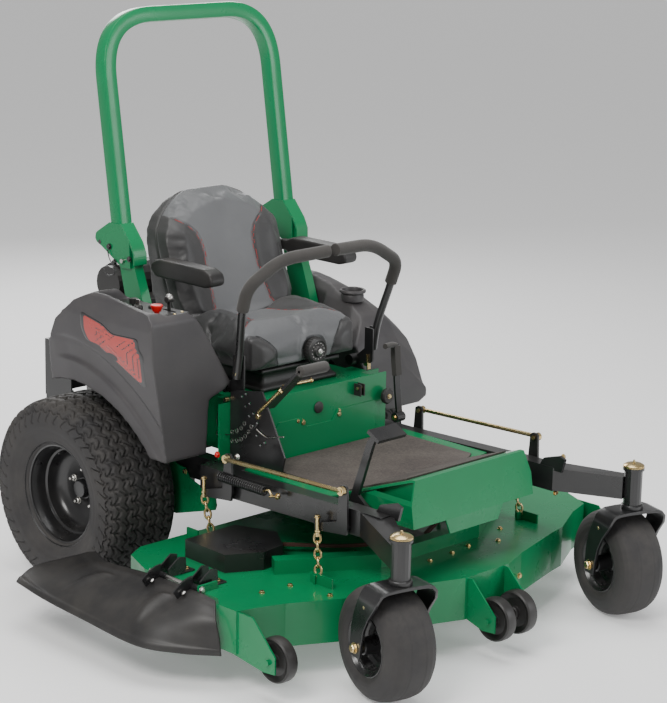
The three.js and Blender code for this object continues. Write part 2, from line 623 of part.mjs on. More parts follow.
function rearWheel(side, name) {
  const wheel = new THREE.Group();
  wheel.position.set(side * REAR_TRACK, 0, REAR_TYRE_R);
  add(`rear_tyre_${name}`, tyre(REAR_RIM_R, REAR_TYRE_R, REAR_TYRE_W, 22, 20), rubber, wheel);
  const disc = rim(REAR_RIM_R, REAR_TYRE_W, 22, side * -20, 20);
  const hub = cut(rod([side * -36, 0, 0], [side * 22, 0, 0], 60, 18),
    rod([side * -60, 0, 0], [side * 12, 0, 0], 22, 16));
  add(`rear_rim_${name}`, join(disc, hub), blackSteel, wheel);
  machine.add(wheel);
}

function casterFork() {
  const reach = CASTER_TYRE_W / 2 + 13;
  const top = CASTER_TYRE_R * 2 + 20;
  const strap = (side) => {
    const outline = [[-42, top], [-42, top - 40], [CASTER_TRAIL - 26, CASTER_TYRE_R - 22],
      [CASTER_TRAIL, CASTER_TYRE_R - 34],
      [CASTER_TRAIL + 26, CASTER_TYRE_R - 22], [CASTER_TRAIL + 26, CASTER_TYRE_R + 20], [48, top - 40],
      [48, top]];
    return plateX(outline, ...across(side, reach, reach + 10));
  };
  const crown = box(-reach - 10, reach + 10, -42, 48, top - 12, top);
  const boss = rod([0, 0, top - 2], [0, 0, PIVOT_TUBE_Z[0] - GAP], PIVOT_TUBE_R, 14);
  const kingpin = rod([0, 0, top - 2], [0, 0, PIVOT_TUBE_Z[1] - 6], KINGPIN_R, 12);
  const axle = rod([-reach - 24, CASTER_TRAIL, CASTER_TYRE_R], [reach + 24, CASTER_TRAIL, CASTER_TYRE_R],
    AXLE_R, 14);
  return join(strap(-1), strap(1), crown, boss, kingpin, axle);
}

function caster(side, name, yaw) {
  const swivel = new THREE.Group();
  swivel.position.set(side * CASTER_X, CASTER_Y, 0);
  swivel.rotation.z = THREE.MathUtils.degToRad(yaw);
  add(`caster_fork_${name}`, casterFork(), blackSteel, swivel);
  const wheel = new THREE.Group();
  wheel.position.set(0, CASTER_TRAIL, CASTER_TYRE_R);
  add(`caster_tyre_${name}`, tyre(CASTER_RIM_R, CASTER_TYRE_R, CASTER_TYRE_W, 26, 20), rubber, wheel);
  const hub = cut(rod([-88, 0, 0], [88, 0, 0], 26, 18), rod([-100, 0, 0], [100, 0, 0], AXLE_R + RUNNING,
    14));
  add(`caster_rim_${name}`, join(rim(CASTER_RIM_R, CASTER_TYRE_W, 12, 0, 20), hub), blackSteel, wheel);
  swivel.add(wheel);
  machine.add(swivel);
}

// ---- Cutting deck ----
const DECK_EDGE = [
  [95, -1240], [200, -1200], [417, -1138], [486, -1123], [631, -1046], [727, -1014], [785, -890],
  [785, -560], [700, -440], [620, -400],
];
const DISCHARGE_EDGE = [
  [-620, -400], [-690, -440], [-738, -560], [-745, -890], [-776, -930], [-776, -1000], [-727, -1014],
  ...DECK_EDGE.slice(0, 5).map(([x, y]) => [-x, y]).reverse(),
];
const DECK_OUTLINE = [...DECK_EDGE, ...DISCHARGE_EDGE];
const SPINDLES = [['right', -SPINDLE_X, SPINDLE_Y], ['centre', 0, CENTRE_SPINDLE_Y],
  ['left', SPINDLE_X, SPINDLE_Y]];
// Roller name, centre and the side on which its bracket stands.
const ROLLERS = [
  ['nose_right', -47, -1320, -1], ['nose_left', 47, -1320, 1], ['corner_right', -735, -1126, -1],
  ['corner_left', 722, -1118, 1],
];

// The bracket plate of an anti-scalp roller, with the roller's axle bolt.
function rollerBracket([, x, y, side]) {
  const plane = x + side * (SCALP_W / 2 + 5);
  const root = Math.abs(x) < 100 ? y + 110 : y + 215;
  const plate = plateX([
    [y - 26, SCALP_Z - 30], [y + 20, SCALP_Z - 34], [root, DECK_BOTTOM + 6], [root, DECK_TOP - 4],
    [y + 66, DECK_TOP - 4], [y - 26, SCALP_Z + 20],
  ], ...across(1, plane, plane + side * SHEET));
  const bolt = rod([plane + side * (SHEET + 8), y, SCALP_Z], [x - side * (SCALP_W / 2 - 2), y, SCALP_Z], 8,
    14);
  return join(plate, bolt);
}

function deckShell() {
  const body = plateZ(DECK_OUTLINE, DECK_BOTTOM, DECK_TOP);
  const chamber = plateZ(inset(DECK_OUTLINE, DECK_WALL), DECK_BOTTOM - 10, DECK_TOP - DECK_WALL);
  const discharge = box(-900, -715, -860, -575, DECK_BOTTOM - 10, DECK_TOP - 24);
  const beam = plateZ([
    [-490, -850], [-215, -1015], [215, -1015], [490, -850], [466, -812], [203, -972], [-203, -972],
    [-466, -812],
  ], DECK_TOP - 2, DECK_TOP + BEAM_H);
  const housings = SPINDLES.map(([, x, y]) => rod([x, y, DECK_TOP - 2], [x, y, DECK_TOP + 10], 70, 14));
  const bores = SPINDLES.map(([, x, y]) => rod([x, y, DECK_BOTTOM], [x, y, DECK_TOP + 100], 13 + RUNNING,
    12));
  const lugs = SIDES.flatMap(([, side]) => [[-1050, -960], [-470, -420]].map(([y0, y1]) => (
    box(...across(side, CRANK_X + 26, CRANK_X + 32), y0, y1, DECK_TOP - 2, DECK_TOP + 30)
  )));
  const [hx, hz] = CHUTE_HINGE;
  const ears = [CHUTE_TONGUES[0] - 34, CHUTE_TONGUES[1] + 34].map((y) => box(hx - 8, -690, y - 4, y + 4,
    DECK_TOP - 4, hz + 12));
  const hingeBore = rod([hx, -500, hz], [hx, -900, hz], 6 + RUNNING, 12);
  const whole = join(cut(body, chamber, discharge), beam, ...housings, ...lugs, ...ears,
    ...ROLLERS.map(rollerBracket));
  return cut(whole, ...bores, hingeBore);
}

function beltCover(side) {
  const low = DECK_TOP + GAP;
  const outline = [[581, -560], [590, -745], [486, -800], [400, -790], [330, -690],
    [380, -555]].map(([x, y]) => [side * x, y]);
  const shell = plateZ(outline, low, low + COVER_H);
  const room = rod([side * SPINDLE_X, SPINDLE_Y, low - 1],
    [side * SPINDLE_X, SPINDLE_Y, low + COVER_H - 6], PULLEY_R + 22, 24);
  return cut(shell, room);
}

function blade(x, y) {
  const bar = box(-BLADE_R + 2, BLADE_R - 2, -30, 30, BLADE_Z, BLADE_Z + 7);
  const sail = SIDES.map(([, side]) => hull([
    [side * 140, side * 30, BLADE_Z], [side * (BLADE_R - 4), side * 30, BLADE_Z],
    [side * 140, side * 30, BLADE_Z + 7],
    [side * (BLADE_R - 4), side * 30, BLADE_Z + 7], [side * 150, side * 24, BLADE_Z + 2],
    [side * (BLADE_R - 4), side * 24, BLADE_Z + 2],
    [side * 175, side * 34, BLADE_Z + 30], [side * (BLADE_R - 6), side * 34, BLADE_Z + 30],
  ]));
  const shaft = rod([0, 0, BLADE_Z - 14], [0, 0, DECK_TOP + 30], 13, 12);
  const hub = rod([0, 0, BLADE_Z + 4], [0, 0, DECK_TOP - 22], 30, 12);
  const pulley = rod([0, 0, DECK_TOP + 14], [0, 0, DECK_TOP + 32], PULLEY_R, 16);
  return join(bar, ...sail, shaft, hub, pulley).translate([x, y, 0]);
}

function chute() {
  const [hx, hz] = CHUTE_HINGE;
  const rows = [
    [[-762, -893, 236], [-764, -820, 241], [-764, -720, 241], [-764, -590, 236], [-758, -420, 220],
    [-680, -262, 198]],
    [[-794, -938, 198], [-818, -860, 210], [-838, -712, 206], [-838, -535, 202], [-822, -360, 192],
    [-750, -196, 176]],
    [[-798, -960, 150], [-870, -850, 160], [-905, -740, 165], [-905, -540, 164], [-890, -340, 162],
    [-842, -152, 158]],
    [[-800, -972, 102], [-880, -880, 104], [-944, -764, 110], [-942, -540, 120], [-942, -360, 131],
    [-936, -184, 143]],
  ];
  const cover = sheet(rows, 6);
  const barrels = CHUTE_TONGUES.map((y) => rod([hx, y - 26, hz], [hx, y + 26, hz], 10, 14));
  const tongues = CHUTE_TONGUES.map((y) => hull([
    [hx - 2, y - 22, hz + 9], [hx - 2, y + 22, hz + 9], [hx - 2, y - 22, hz - 8], [hx - 2, y + 22, hz - 8],
    [-808, y - 22, 228], [-808, y + 22, 228], [-808, y - 22, 214], [-808, y + 22, 214],
  ]));
  const pin = rod([hx, CHUTE_TONGUES[0] - 42, hz], [hx, CHUTE_TONGUES[1] + 42, hz], 6, 12);
  return join(cover, ...barrels, ...tongues, pin);
}

// A bent sheet of even thickness under a grid of points.
function sheet(rows, thickness) {
  const parts = [];
  for (let i = 0; i + 1 < rows.length; i += 1) {
    for (let j = 0; j + 1 < rows[i].length; j += 1) {
      const quad = [rows[i][j], rows[i][j + 1], rows[i + 1][j + 1], rows[i + 1][j]];
      for (const [a, b, c] of [[0, 1, 2], [0, 2, 3]]) {
        const top = [quad[a], quad[b], quad[c]];
        parts.push(hull([...top, ...top.map(([x, y, z]) => [x, y, z - thickness])]));
      }
    }
  }
  return join(...parts);
}

function scalpRoller([, x, y]) {
  const half = SCALP_W / 2;
  const bore = 8 + RUNNING;
  const roller = turned([
    [bore, -half], [SCALP_R - 12, -half], [SCALP_R, -half + 12], [SCALP_R, half - 12],
    [SCALP_R - 12, half], [bore, half], [bore, -half],
  ], 16);
  return roller.rotate([0, 90, 0]).translate([x, y, SCALP_Z]);
}

// ---- Deck lift ----
function liftShaft([y, z], half) {
  const shaft = rod([-half, y, z], [half, y, z], SHAFT_R, 10);
  const cranks = SIDES.map(([, side]) => {
    const outline = [
      [y - 14, z - 20], [y + ARM_L + 10, z - 34], [y + ARM_L + 12, z - 14], [y + 24, z + 12],
      [y + 16, z + EAR_H + 8], [y + 8, z + EAR_H + 14],
      [y - 8, z + EAR_H + 14], [y - 14, z + EAR_H + 6], [y - 18, z + 10],
    ];
    const plate = plateX(outline, ...across(side, CRANK_X - 10, CRANK_X - 2));
    return cut(plate, rod([side * 400, y, z + EAR_H], [side * 460, y, z + EAR_H], 7 + RUNNING, 10));
  });
  return join(shaft, ...cranks);
}

function liftRod(side) {
  const x = side * (CRANK_X + 8);
  const rear = [x, REAR_SHAFT[0], REAR_SHAFT[1] + EAR_H];
  const front = [x, FRONT_SHAFT[0], FRONT_SHAFT[1] + EAR_H];
  const stud = (point) => rod([side * (CRANK_X - 16), point[1], point[2]],
    [side * (CRANK_X + 14), point[1], point[2]], 7, 8);
  const eye = (point) => rod([side * (CRANK_X - 1), point[1], point[2]],
    [side * (CRANK_X + 12), point[1], point[2]], 13, 10);
  return join(rod(rear, front, 7, 8), stud(rear), stud(front), eye(rear), eye(front));
}

function liftPedal() {
  const [y, z] = FRONT_SHAFT;
  const collar = cut(rod([-300, y, z], [-276, y, z], 24, 18),
    rod([-320, y, z], [-260, y, z], SHAFT_R + GAP, 16));
  const arm = cut(plateX([
    [y + 4, z + 12], [y + 22, z - 8], [y + 70, z + 20], [y + 96, z + 36], [y + 30, 640], [y + 8, 664],
    [y - 4, 656], [y + 8, 630], [y + 62, z + 56],
  ], -298, -286), rod([-320, y, z], [-260, y, z], SHAFT_R + GAP, 16));
  const pad = hull([
    [-300, y - 20, 652], [-185, y - 20, 652], [-300, y + 24, 676], [-185, y + 24, 676],
    [-300, y - 14, 642], [-185, y - 14, 642], [-300, y + 30, 666], [-185, y + 30, 666],
  ]);
  return join(collar, arm, pad);
}

function heightPlate() {
  const outline = [[-448, 480], [-448, 672], [-470, 680], [-588, 700], [-690, 515], [-680, RAIL_TOP + 16],
    [-470, RAIL_TOP + 6]];
  const holes = Array.from({ length: 12 }, (_, i) => {
    const row = i % 2;
    const y = -500 - Math.floor(i / 2) * 17 - row * 18;
    const z = 668 - Math.floor(i / 2) * 27 + row * 12;
    return rod([-330, y, z], [-270, y, z], 6, 8);
  });
  const foot = box(-304, -292, -640, -470, RAIL_TOP + GAP + 12, RAIL_TOP + 24);
  return cut(join(plateX(outline, -304, -298), foot), ...holes);
}

function liftHandle() {
  const arm = hull([
    [-296, -560, 628], [-290, -560, 628], [-296, -584, 634], [-290, -584, 634],
    [-296, -738, 802], [-290, -738, 802], [-296, -762, 782], [-290, -762, 782], [-296, -572, 612],
    [-290, -572, 612],
  ]);
  const grip = rod([-297, -750, 792], [-200, -750, 792], 17, 18);
  return join(arm, grip);
}

function brakeLever() {
  const arm = swept([[322, -566, 506], [322, -552, 600], [322, -540, 742]], 20,
    shape([[-12, -4], [12, -4], [12, 4], [-12, 4]]), 8);
  const grip = box(311, 335, -556, -532, 640, 742);
  const knob = rod([322, -542, 736], [262, -556, 746], 9, 12);
  const hub = rod([300, -566, 506], [336, -566, 506], 16, 16);
  return join(arm, grip, knob, hub);
}

// ---- Controls on the right fender ----

function controlPanel() {
  const body = plateZ(panelOutline(0), PANEL_TOP_Z - PANEL_T, PANEL_TOP_Z);
  const stem = ([x, y], radius) => rod([x, y, 900], [x, y, 1100], radius + RUNNING, 14);
  const slot = box(THROTTLE[0] - 5, THROTTLE[0] + 5, THROTTLE[1] - 30, THROTTLE[1] + 30, 900, 1100);
  return cut(body, stem(PTO_KNOB, 7), stem(CHOKE_KNOB, 5), slot);
}

function panelKnob([x, y], stem, radius, height) {
  const low = PANEL_TOP_Z - 2;
  const head = rod([x, y, PANEL_TOP_Z + 6], [x, y, PANEL_TOP_Z + 6 + height], radius, 16);
  return join(rod([x, y, low], [x, y, PANEL_TOP_Z + 8], stem, 12), head);
}

function throttleLever() {
  const [x, y] = THROTTLE;
  const stalk = box(x - 2, x + 2, y - 6, y + 6, PANEL_TOP_Z - 4, PANEL_TOP_Z + 32);
  return join(stalk, rod([x - 12, y, PANEL_TOP_Z + 34], [x + 12, y, PANEL_TOP_Z + 34], 9, 12));
}

// ---- Assembly ----
add('main_frame', mainFrame(), blackSteel);
add('foot_pan', footPan(), green);
add('floor_mat', floorMat(), rubber);
add('seat_box', seatBox(), green);
for (const [name, side] of SIDES) {
  add(`front_rail_${name}`, frontRail(side), blackSteel);
  add(`rops_post_${name}`, rollPost(side), green);
  add(`hydro_${name}`, hydro(side), castMetal);
  add(`armrest_${name}`, armrest(side), blackPlastic);
  add(`lever_base_${name}`, leverBase(side), blackSteel);
  add(`lap_bar_${name}`, lapBar(side), foam);
  add(`belt_cover_${name}`, beltCover(side), blackSteel);
  add(`lift_rod_${name}`, liftRod(side), zinc);
  rearWheel(side, name);
}
add('fender_right', fenderRight(), charcoal);
add('fender_left', fenderLeft(), charcoal);
add('control_panel', controlPanel(), blackPlastic);
add('rops_hoop', rollHoop(), green);
add('engine_block', engineBlock(), castMetal);
add('engine_shroud', engineShroud(), blackPlastic);
add('muffler', muffler(), castMetal);
add('rear_guard', rearGuard(), blackSteel);
add('height_plate', heightPlate(), blackSteel);
add('seat_suspension', seatSuspension(), blackPlastic);
add('seat_cushion', seatCushion(), vinyl);
add('seat_back', seatBack(), vinyl);
add('seat_knob', seatKnob(), blackPlastic);
caster(-1, 'right', CASTER_YAW_RIGHT);
caster(1, 'left', CASTER_YAW_LEFT);
add('deck_shell', deckShell(), green);
SPINDLES.forEach(([name, x, y]) => add(`blade_${name}`, blade(x, y), bladeSteel));
ROLLERS.forEach((roller) => add(`roller_${roller[0]}`, scalpRoller(roller), blackPlastic));
add('discharge_chute', chute(), blackPlastic);
add('lift_shaft_rear', liftShaft(REAR_SHAFT, CRANK_X - 2), blackSteel);
add('lift_shaft_front', liftShaft(FRONT_SHAFT, CRANK_X - 2), blackSteel);
add('lift_pedal', liftPedal(), blackSteel);
add('lift_handle', liftHandle(), blackSteel);
add('brake_lever', brakeLever(), blackSteel);
add('pto_knob', panelKnob(PTO_KNOB, 7, 17, 22), red);
add('choke_knob', panelKnob(CHOKE_KNOB, 5, 13, 16), blackPlastic);
add('throttle_lever', throttleLever(), blackPlastic);

// The row's frame: the bottom centre of the whole machine at the origin.
machine.updateMatrixWorld(true);
const extent = new THREE.Box3().setFromObject(machine, true);
const centre = extent.getCenter(new THREE.Vector3());
const mower = new THREE.Group();
mower.name = 'zero_turn_mower';
machine.position.set(-centre.x, -centre.y, -extent.min.z);
mower.add(machine);
mower.updateMatrixWorld(true);

export default mower;
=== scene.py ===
import math

import bmesh
import bpy
import numpy as np
from mathutils import Matrix, Vector
from mathutils.bvhtree import BVHTree


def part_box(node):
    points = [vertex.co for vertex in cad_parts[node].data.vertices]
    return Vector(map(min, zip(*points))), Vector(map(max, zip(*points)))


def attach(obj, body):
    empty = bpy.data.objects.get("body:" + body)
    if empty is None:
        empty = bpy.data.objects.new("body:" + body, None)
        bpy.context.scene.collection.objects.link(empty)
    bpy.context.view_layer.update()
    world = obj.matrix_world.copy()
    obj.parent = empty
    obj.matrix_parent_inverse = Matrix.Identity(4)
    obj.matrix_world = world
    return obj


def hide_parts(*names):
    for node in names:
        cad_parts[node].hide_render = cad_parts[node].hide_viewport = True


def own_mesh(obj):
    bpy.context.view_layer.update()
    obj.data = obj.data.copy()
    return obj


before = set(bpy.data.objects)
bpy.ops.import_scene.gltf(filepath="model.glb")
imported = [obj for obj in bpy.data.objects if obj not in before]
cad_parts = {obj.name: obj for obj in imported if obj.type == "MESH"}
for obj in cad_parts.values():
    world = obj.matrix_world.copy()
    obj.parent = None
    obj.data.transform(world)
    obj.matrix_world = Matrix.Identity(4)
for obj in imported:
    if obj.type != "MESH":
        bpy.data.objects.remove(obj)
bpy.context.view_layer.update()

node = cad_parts

# ---- Where the machine stands: mid-plane and rear axle, read from the frame and the drive wheel ----
frame_low, frame_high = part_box("main_frame")
wheel_low, wheel_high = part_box("rear_tyre_right")
MID_X = (frame_low.x + frame_high.x) / 2
AXLE_Y = (wheel_low.y + wheel_high.y) / 2
ORIGIN = np.array([MID_X * 1000, AXLE_Y * 1000, 0])
SIDES = (("right", -1), ("left", 1))

# Places and sizes that several pieces share, in millimetres from the mid-plane, the rear axle and the ground
DRIVE_X, DRIVE_RADIUS = 513, 305
CASTER_X, CASTER_Y, CASTER_TRAIL, CASTER_RADIUS = 509, -1369, 61, 165
CASTER_YAW = {"right": -13.55, "left": -19}
CHUTE_HINGE_X, CHUTE_HINGE_Z = -752, 246
CHUTE_STRAPS_Y = (-789, -651)
HANDLE_PIVOT_Y, HANDLE_PIVOT_Z = -572, 620
PANEL_TOP_Z = 938
ROLLER_Z = 121
CHAIN_TOPS = {"front": (426, -959, 372), "rear": (422, -463, 371)}
CHAIN_LUGS = {"front": (444, -984, 262), "rear": (424, -500, 262)}


def at(x, y, z):
    """A place given in millimetres from the mid-plane, the rear axle and the ground."""
    return Vector((MID_X + x / 1000, AXLE_Y + y / 1000, z / 1000))


def local(co):
    """A place in the row frame, back in millimetres in the machine's frame."""
    return (co.x - MID_X) * 1000, (co.y - AXLE_Y) * 1000, co.z * 1000


# ---- Shader groups shared by several finishes ----
def new_group(name, inputs, outputs):
    tree = bpy.data.node_groups.new(name, "ShaderNodeTree")
    for label, value in inputs.items():
        socket = tree.interface.new_socket(name=label, in_out="INPUT", socket_type="NodeSocketFloat")
        socket.default_value = value
    for label, kind in outputs.items():
        tree.interface.new_socket(name=label, in_out="OUTPUT", socket_type=kind)
    return tree, tree.nodes.new("NodeGroupInput"), tree.nodes.new("NodeGroupOutput")


def noise(tree, scale, detail=3.0, roughness=0.5, coords=None):
    texture = tree.nodes.new("ShaderNodeTexNoise")
    texture.inputs["Scale"].default_value = scale
    texture.inputs["Detail"].default_value = detail
    texture.inputs["Roughness"].default_value = roughness
    if coords is not None:
        tree.links.new(coords, texture.inputs["Vector"])
    return texture


def remap(tree, value, low, high, to_low, to_high):
    mapping = tree.nodes.new("ShaderNodeMapRange")
    for label, number in (("From Min", low), ("From Max", high), ("To Min", to_low), ("To Max", to_high)):
        mapping.inputs[label].default_value = number
    tree.links.new(value, mapping.inputs["Value"])
    return mapping.outputs["Result"]


def product(tree, one, other):
    multiply = tree.nodes.new("ShaderNodeMath")
    multiply.operation = "MULTIPLY"
    tree.links.new(one, multiply.inputs[0])
    tree.links.new(other, multiply.inputs[1])
    return multiply.outputs[0]


def make_grain():
    """Fine surface relief: moulded grain, orange peel or cast skin, by scale and depth."""
    tree, entry, leave = new_group(
        "surface_grain", {"Scale": 400.0, "Depth": 0.2, "Distance": 0.0004},
        {"Normal": "NodeSocketVector", "Mask": "NodeSocketFloat"})
    coords = tree.nodes.new("ShaderNodeTexCoord")
    texture = noise(tree, 1.0, 2.0, 0.6, coords.outputs["Object"])
    bump = tree.nodes.new("ShaderNodeBump")
    tree.links.new(entry.outputs["Scale"], texture.inputs["Scale"])
    tree.links.new(entry.outputs["Depth"], bump.inputs["Strength"])
    tree.links.new(entry.outputs["Distance"], bump.inputs["Distance"])
    tree.links.new(texture.outputs["Fac"], bump.inputs["Height"])
    tree.links.new(bump.outputs["Normal"], leave.inputs["Normal"])
    tree.links.new(texture.outputs["Fac"], leave.inputs["Mask"])
    return tree


def make_leather():
    """Vinyl hide: small cells with soft creases over them."""
    tree, entry, leave = new_group("vinyl_hide", {"Cell": 420.0, "Depth": 0.3},
                                   {"Normal": "NodeSocketVector", "Mask": "NodeSocketFloat"})
    coords = tree.nodes.new("ShaderNodeTexCoord")
    cells = tree.nodes.new("ShaderNodeTexVoronoi")
    cells.feature = "DISTANCE_TO_EDGE"
    creases = noise(tree, 26.0, 3.0, 0.55, coords.outputs["Object"])
    tree.links.new(coords.outputs["Object"], cells.inputs["Vector"])
    tree.links.new(entry.outputs["Cell"], cells.inputs["Scale"])
    fine = tree.nodes.new("ShaderNodeBump")
    fine.inputs["Distance"].default_value = 0.0003
    soft = tree.nodes.new("ShaderNodeBump")
    soft.inputs["Distance"].default_value = 0.004
    soft.inputs["Strength"].default_value = 0.18
    tree.links.new(creases.outputs["Fac"], soft.inputs["Height"])
    tree.links.new(remap(tree, cells.outputs["Distance"], 0.0, 0.12, 0.0, 1.0), fine.inputs["Height"])
    tree.links.new(entry.outputs["Depth"], fine.inputs["Strength"])
    tree.links.new(soft.outputs["Normal"], fine.inputs["Normal"])
    tree.links.new(fine.outputs["Normal"], leave.inputs["Normal"])
    tree.links.new(creases.outputs["Fac"], leave.inputs["Mask"])
    return tree


def make_dust():
    """Dust that settles on what faces up, broken by noise."""
    tree, entry, leave = new_group("settled_dust", {"Amount": 0.2, "Scale": 9.0}, {"Mask": "NodeSocketFloat"})
    coords = tree.nodes.new("ShaderNodeTexCoord")
    geometry = tree.nodes.new("ShaderNodeNewGeometry")
    split = tree.nodes.new("ShaderNodeSeparateXYZ")
    texture = noise(tree, 1.0, 5.0, 0.65, coords.outputs["Object"])
    tree.links.new(entry.outputs["Scale"], texture.inputs["Scale"])
    tree.links.new(geometry.outputs["Normal"], split.inputs["Vector"])
    facing_up = remap(tree, split.outputs["Z"], -0.2, 1.0, 0.25, 1.0)
    patches = remap(tree, texture.outputs["Fac"], 0.38, 0.72, 0.0, 1.0)
    amount = product(tree, product(tree, facing_up, patches), entry.outputs["Amount"])
    tree.links.new(amount, leave.inputs["Mask"])
    return tree


GRAIN = make_grain()
HIDE = make_leather()
DUST = make_dust()
DUST_COLOR = (0.30, 0.27, 0.23, 1)
GLOSS_SPREAD = 0.06


def finish(name, color, second, rough, metal=0.0, coat=0.0, coat_rough=0.1, grain=400.0, depth=0.2,
           distance=0.0004, dust=0.08, mottle=6.0, group=None, sheen=0.0, shine=0.5):
    """A finish: two mottled colours under a little dust, with grain or hide relief and uneven gloss."""
    material = bpy.data.materials.new(name)
    material.use_nodes = True
    tree = material.node_tree
    shader = tree.nodes["Principled BSDF"]
    coords = tree.nodes.new("ShaderNodeTexCoord")
    clouds = noise(tree, mottle, 4.0, 0.6, coords.outputs["Object"])
    base = tree.nodes.new("ShaderNodeMix")
    base.data_type = "RGBA"
    base.inputs["A"].default_value = (*color, 1)
    base.inputs["B"].default_value = (*second, 1)
    tree.links.new(remap(tree, clouds.outputs["Fac"], 0.32, 0.68, 0.0, 1.0), base.inputs["Factor"])
    settled = tree.nodes.new("ShaderNodeGroup")
    settled.node_tree = DUST
    settled.inputs["Amount"].default_value = dust
    top = tree.nodes.new("ShaderNodeMix")
    top.data_type = "RGBA"
    top.inputs["B"].default_value = DUST_COLOR
    tree.links.new(base.outputs["Result"], top.inputs["A"])
    tree.links.new(settled.outputs["Mask"], top.inputs["Factor"])
    tree.links.new(top.outputs["Result"], shader.inputs["Base Color"])
    relief = tree.nodes.new("ShaderNodeGroup")
    relief.node_tree = group or GRAIN
    relief.inputs["Depth"].default_value = depth
    if group is None:
        relief.inputs["Scale"].default_value = grain
        relief.inputs["Distance"].default_value = distance
    else:
        relief.inputs["Cell"].default_value = grain
    tree.links.new(relief.outputs["Normal"], shader.inputs["Normal"])
    tree.links.new(remap(tree, clouds.outputs["Fac"], 0.3, 0.7, rough - GLOSS_SPREAD, rough + GLOSS_SPREAD),
                   shader.inputs["Roughness"])
    shader.inputs["Metallic"].default_value = metal
    shader.inputs["Coat Weight"].default_value = coat
    shader.inputs["Coat Roughness"].default_value = coat_rough
    shader.inputs["Sheen Weight"].default_value = sheen
    shader.inputs["Specular IOR Level"].default_value = shine
    return material


green_paint = finish("green_paint", (0.0, 0.200, 0.068), (0.0, 0.180, 0.060), 0.30, coat=0.16,
                     coat_rough=0.07, grain=90, depth=0.08, distance=0.0006, dust=0.015, shine=0.35)
black_paint = finish("black_paint", (0.010, 0.010, 0.011), (0.014, 0.014, 0.015), 0.30, coat=0.25,
                     coat_rough=0.16, grain=160, depth=0.12, dust=0.05)
fender_moulding = finish("fender_moulding", (0.050, 0.047, 0.050), (0.043, 0.040, 0.043), 0.50, grain=850,
                         depth=0.35, distance=0.0003, dust=0.10, mottle=4)
black_moulding = finish("black_moulding", (0.014, 0.0135, 0.0135), (0.019, 0.018, 0.018), 0.46, grain=600,
                        depth=0.35, distance=0.0003, dust=0.08)
tyre_rubber = finish("tyre_rubber", (0.021, 0.020, 0.021), (0.030, 0.028, 0.028), 0.72, grain=300, depth=0.3,
                     distance=0.0005, dust=0.16, mottle=12)
seat_grey = finish("seat_grey", (0.118, 0.121, 0.126), (0.104, 0.107, 0.112), 0.44, grain=420, depth=0.30,
                   dust=0.04, group=HIDE, sheen=0.1)
seat_dark = finish("seat_dark", (0.036, 0.035, 0.036), (0.030, 0.030, 0.031), 0.42, grain=420, depth=0.30,
                   dust=0.05, group=HIDE, sheen=0.1)
stitch_red = finish("stitch_red", (0.30, 0.018, 0.018), (0.36, 0.03, 0.026), 0.6, grain=1500, depth=0.4,
                    dust=0.0)
stitch_black = finish("stitch_black", (0.012, 0.012, 0.012), (0.018, 0.018, 0.018), 0.6, grain=1500,
                      depth=0.4, dust=0.0)
grip_foam = finish("grip_foam", (0.040, 0.036, 0.033), (0.031, 0.029, 0.027), 0.9, grain=700, depth=0.6,
                   distance=0.0006, dust=0.06, sheen=0.2)
yellow_zinc = finish("yellow_zinc", (0.66, 0.46, 0.20), (0.56, 0.48, 0.27), 0.26, metal=1.0, grain=60,
                     depth=0.04, dust=0.02, mottle=24)
bright_zinc = finish("bright_zinc", (0.60, 0.59, 0.56), (0.50, 0.49, 0.47), 0.30, metal=1.0, grain=200,
                     depth=0.12, dust=0.03, mottle=30)
worn_steel = finish("worn_steel", (0.30, 0.29, 0.28), (0.20, 0.19, 0.18), 0.42, metal=0.9, grain=260,
                    depth=0.3, dust=0.12, mottle=20)
cast_alloy = finish("cast_alloy", (0.28, 0.28, 0.28), (0.20, 0.20, 0.20), 0.55, metal=0.6, grain=500,
                    depth=0.5, dust=0.12, mottle=14)
floor_mat_rubber = finish("floor_mat_rubber", (0.082, 0.066, 0.058), (0.045, 0.038, 0.035), 0.88, grain=330,
                          depth=0.8, distance=0.0012, dust=0.12, mottle=160)
belt_rubber = finish("belt_rubber", (0.085, 0.030, 0.020), (0.055, 0.022, 0.016), 0.75, grain=500, depth=0.4,
                     dust=0.1)
red_moulding = finish("red_moulding", (0.62, 0.006, 0.006), (0.52, 0.005, 0.005), 0.28, grain=300, depth=0.1,
                      dust=0.0)
accent_red = finish("accent_red", (0.42, 0.016, 0.008), (0.34, 0.012, 0.007), 0.26, coat=0.6, coat_rough=0.06,
                    grain=60, depth=0.05, dust=0.02)
accent_black = finish("accent_black", (0.008, 0.008, 0.009), (0.011, 0.011, 0.012), 0.28, coat=0.5,
                      coat_rough=0.08, grain=60, depth=0.05, dust=0.02)


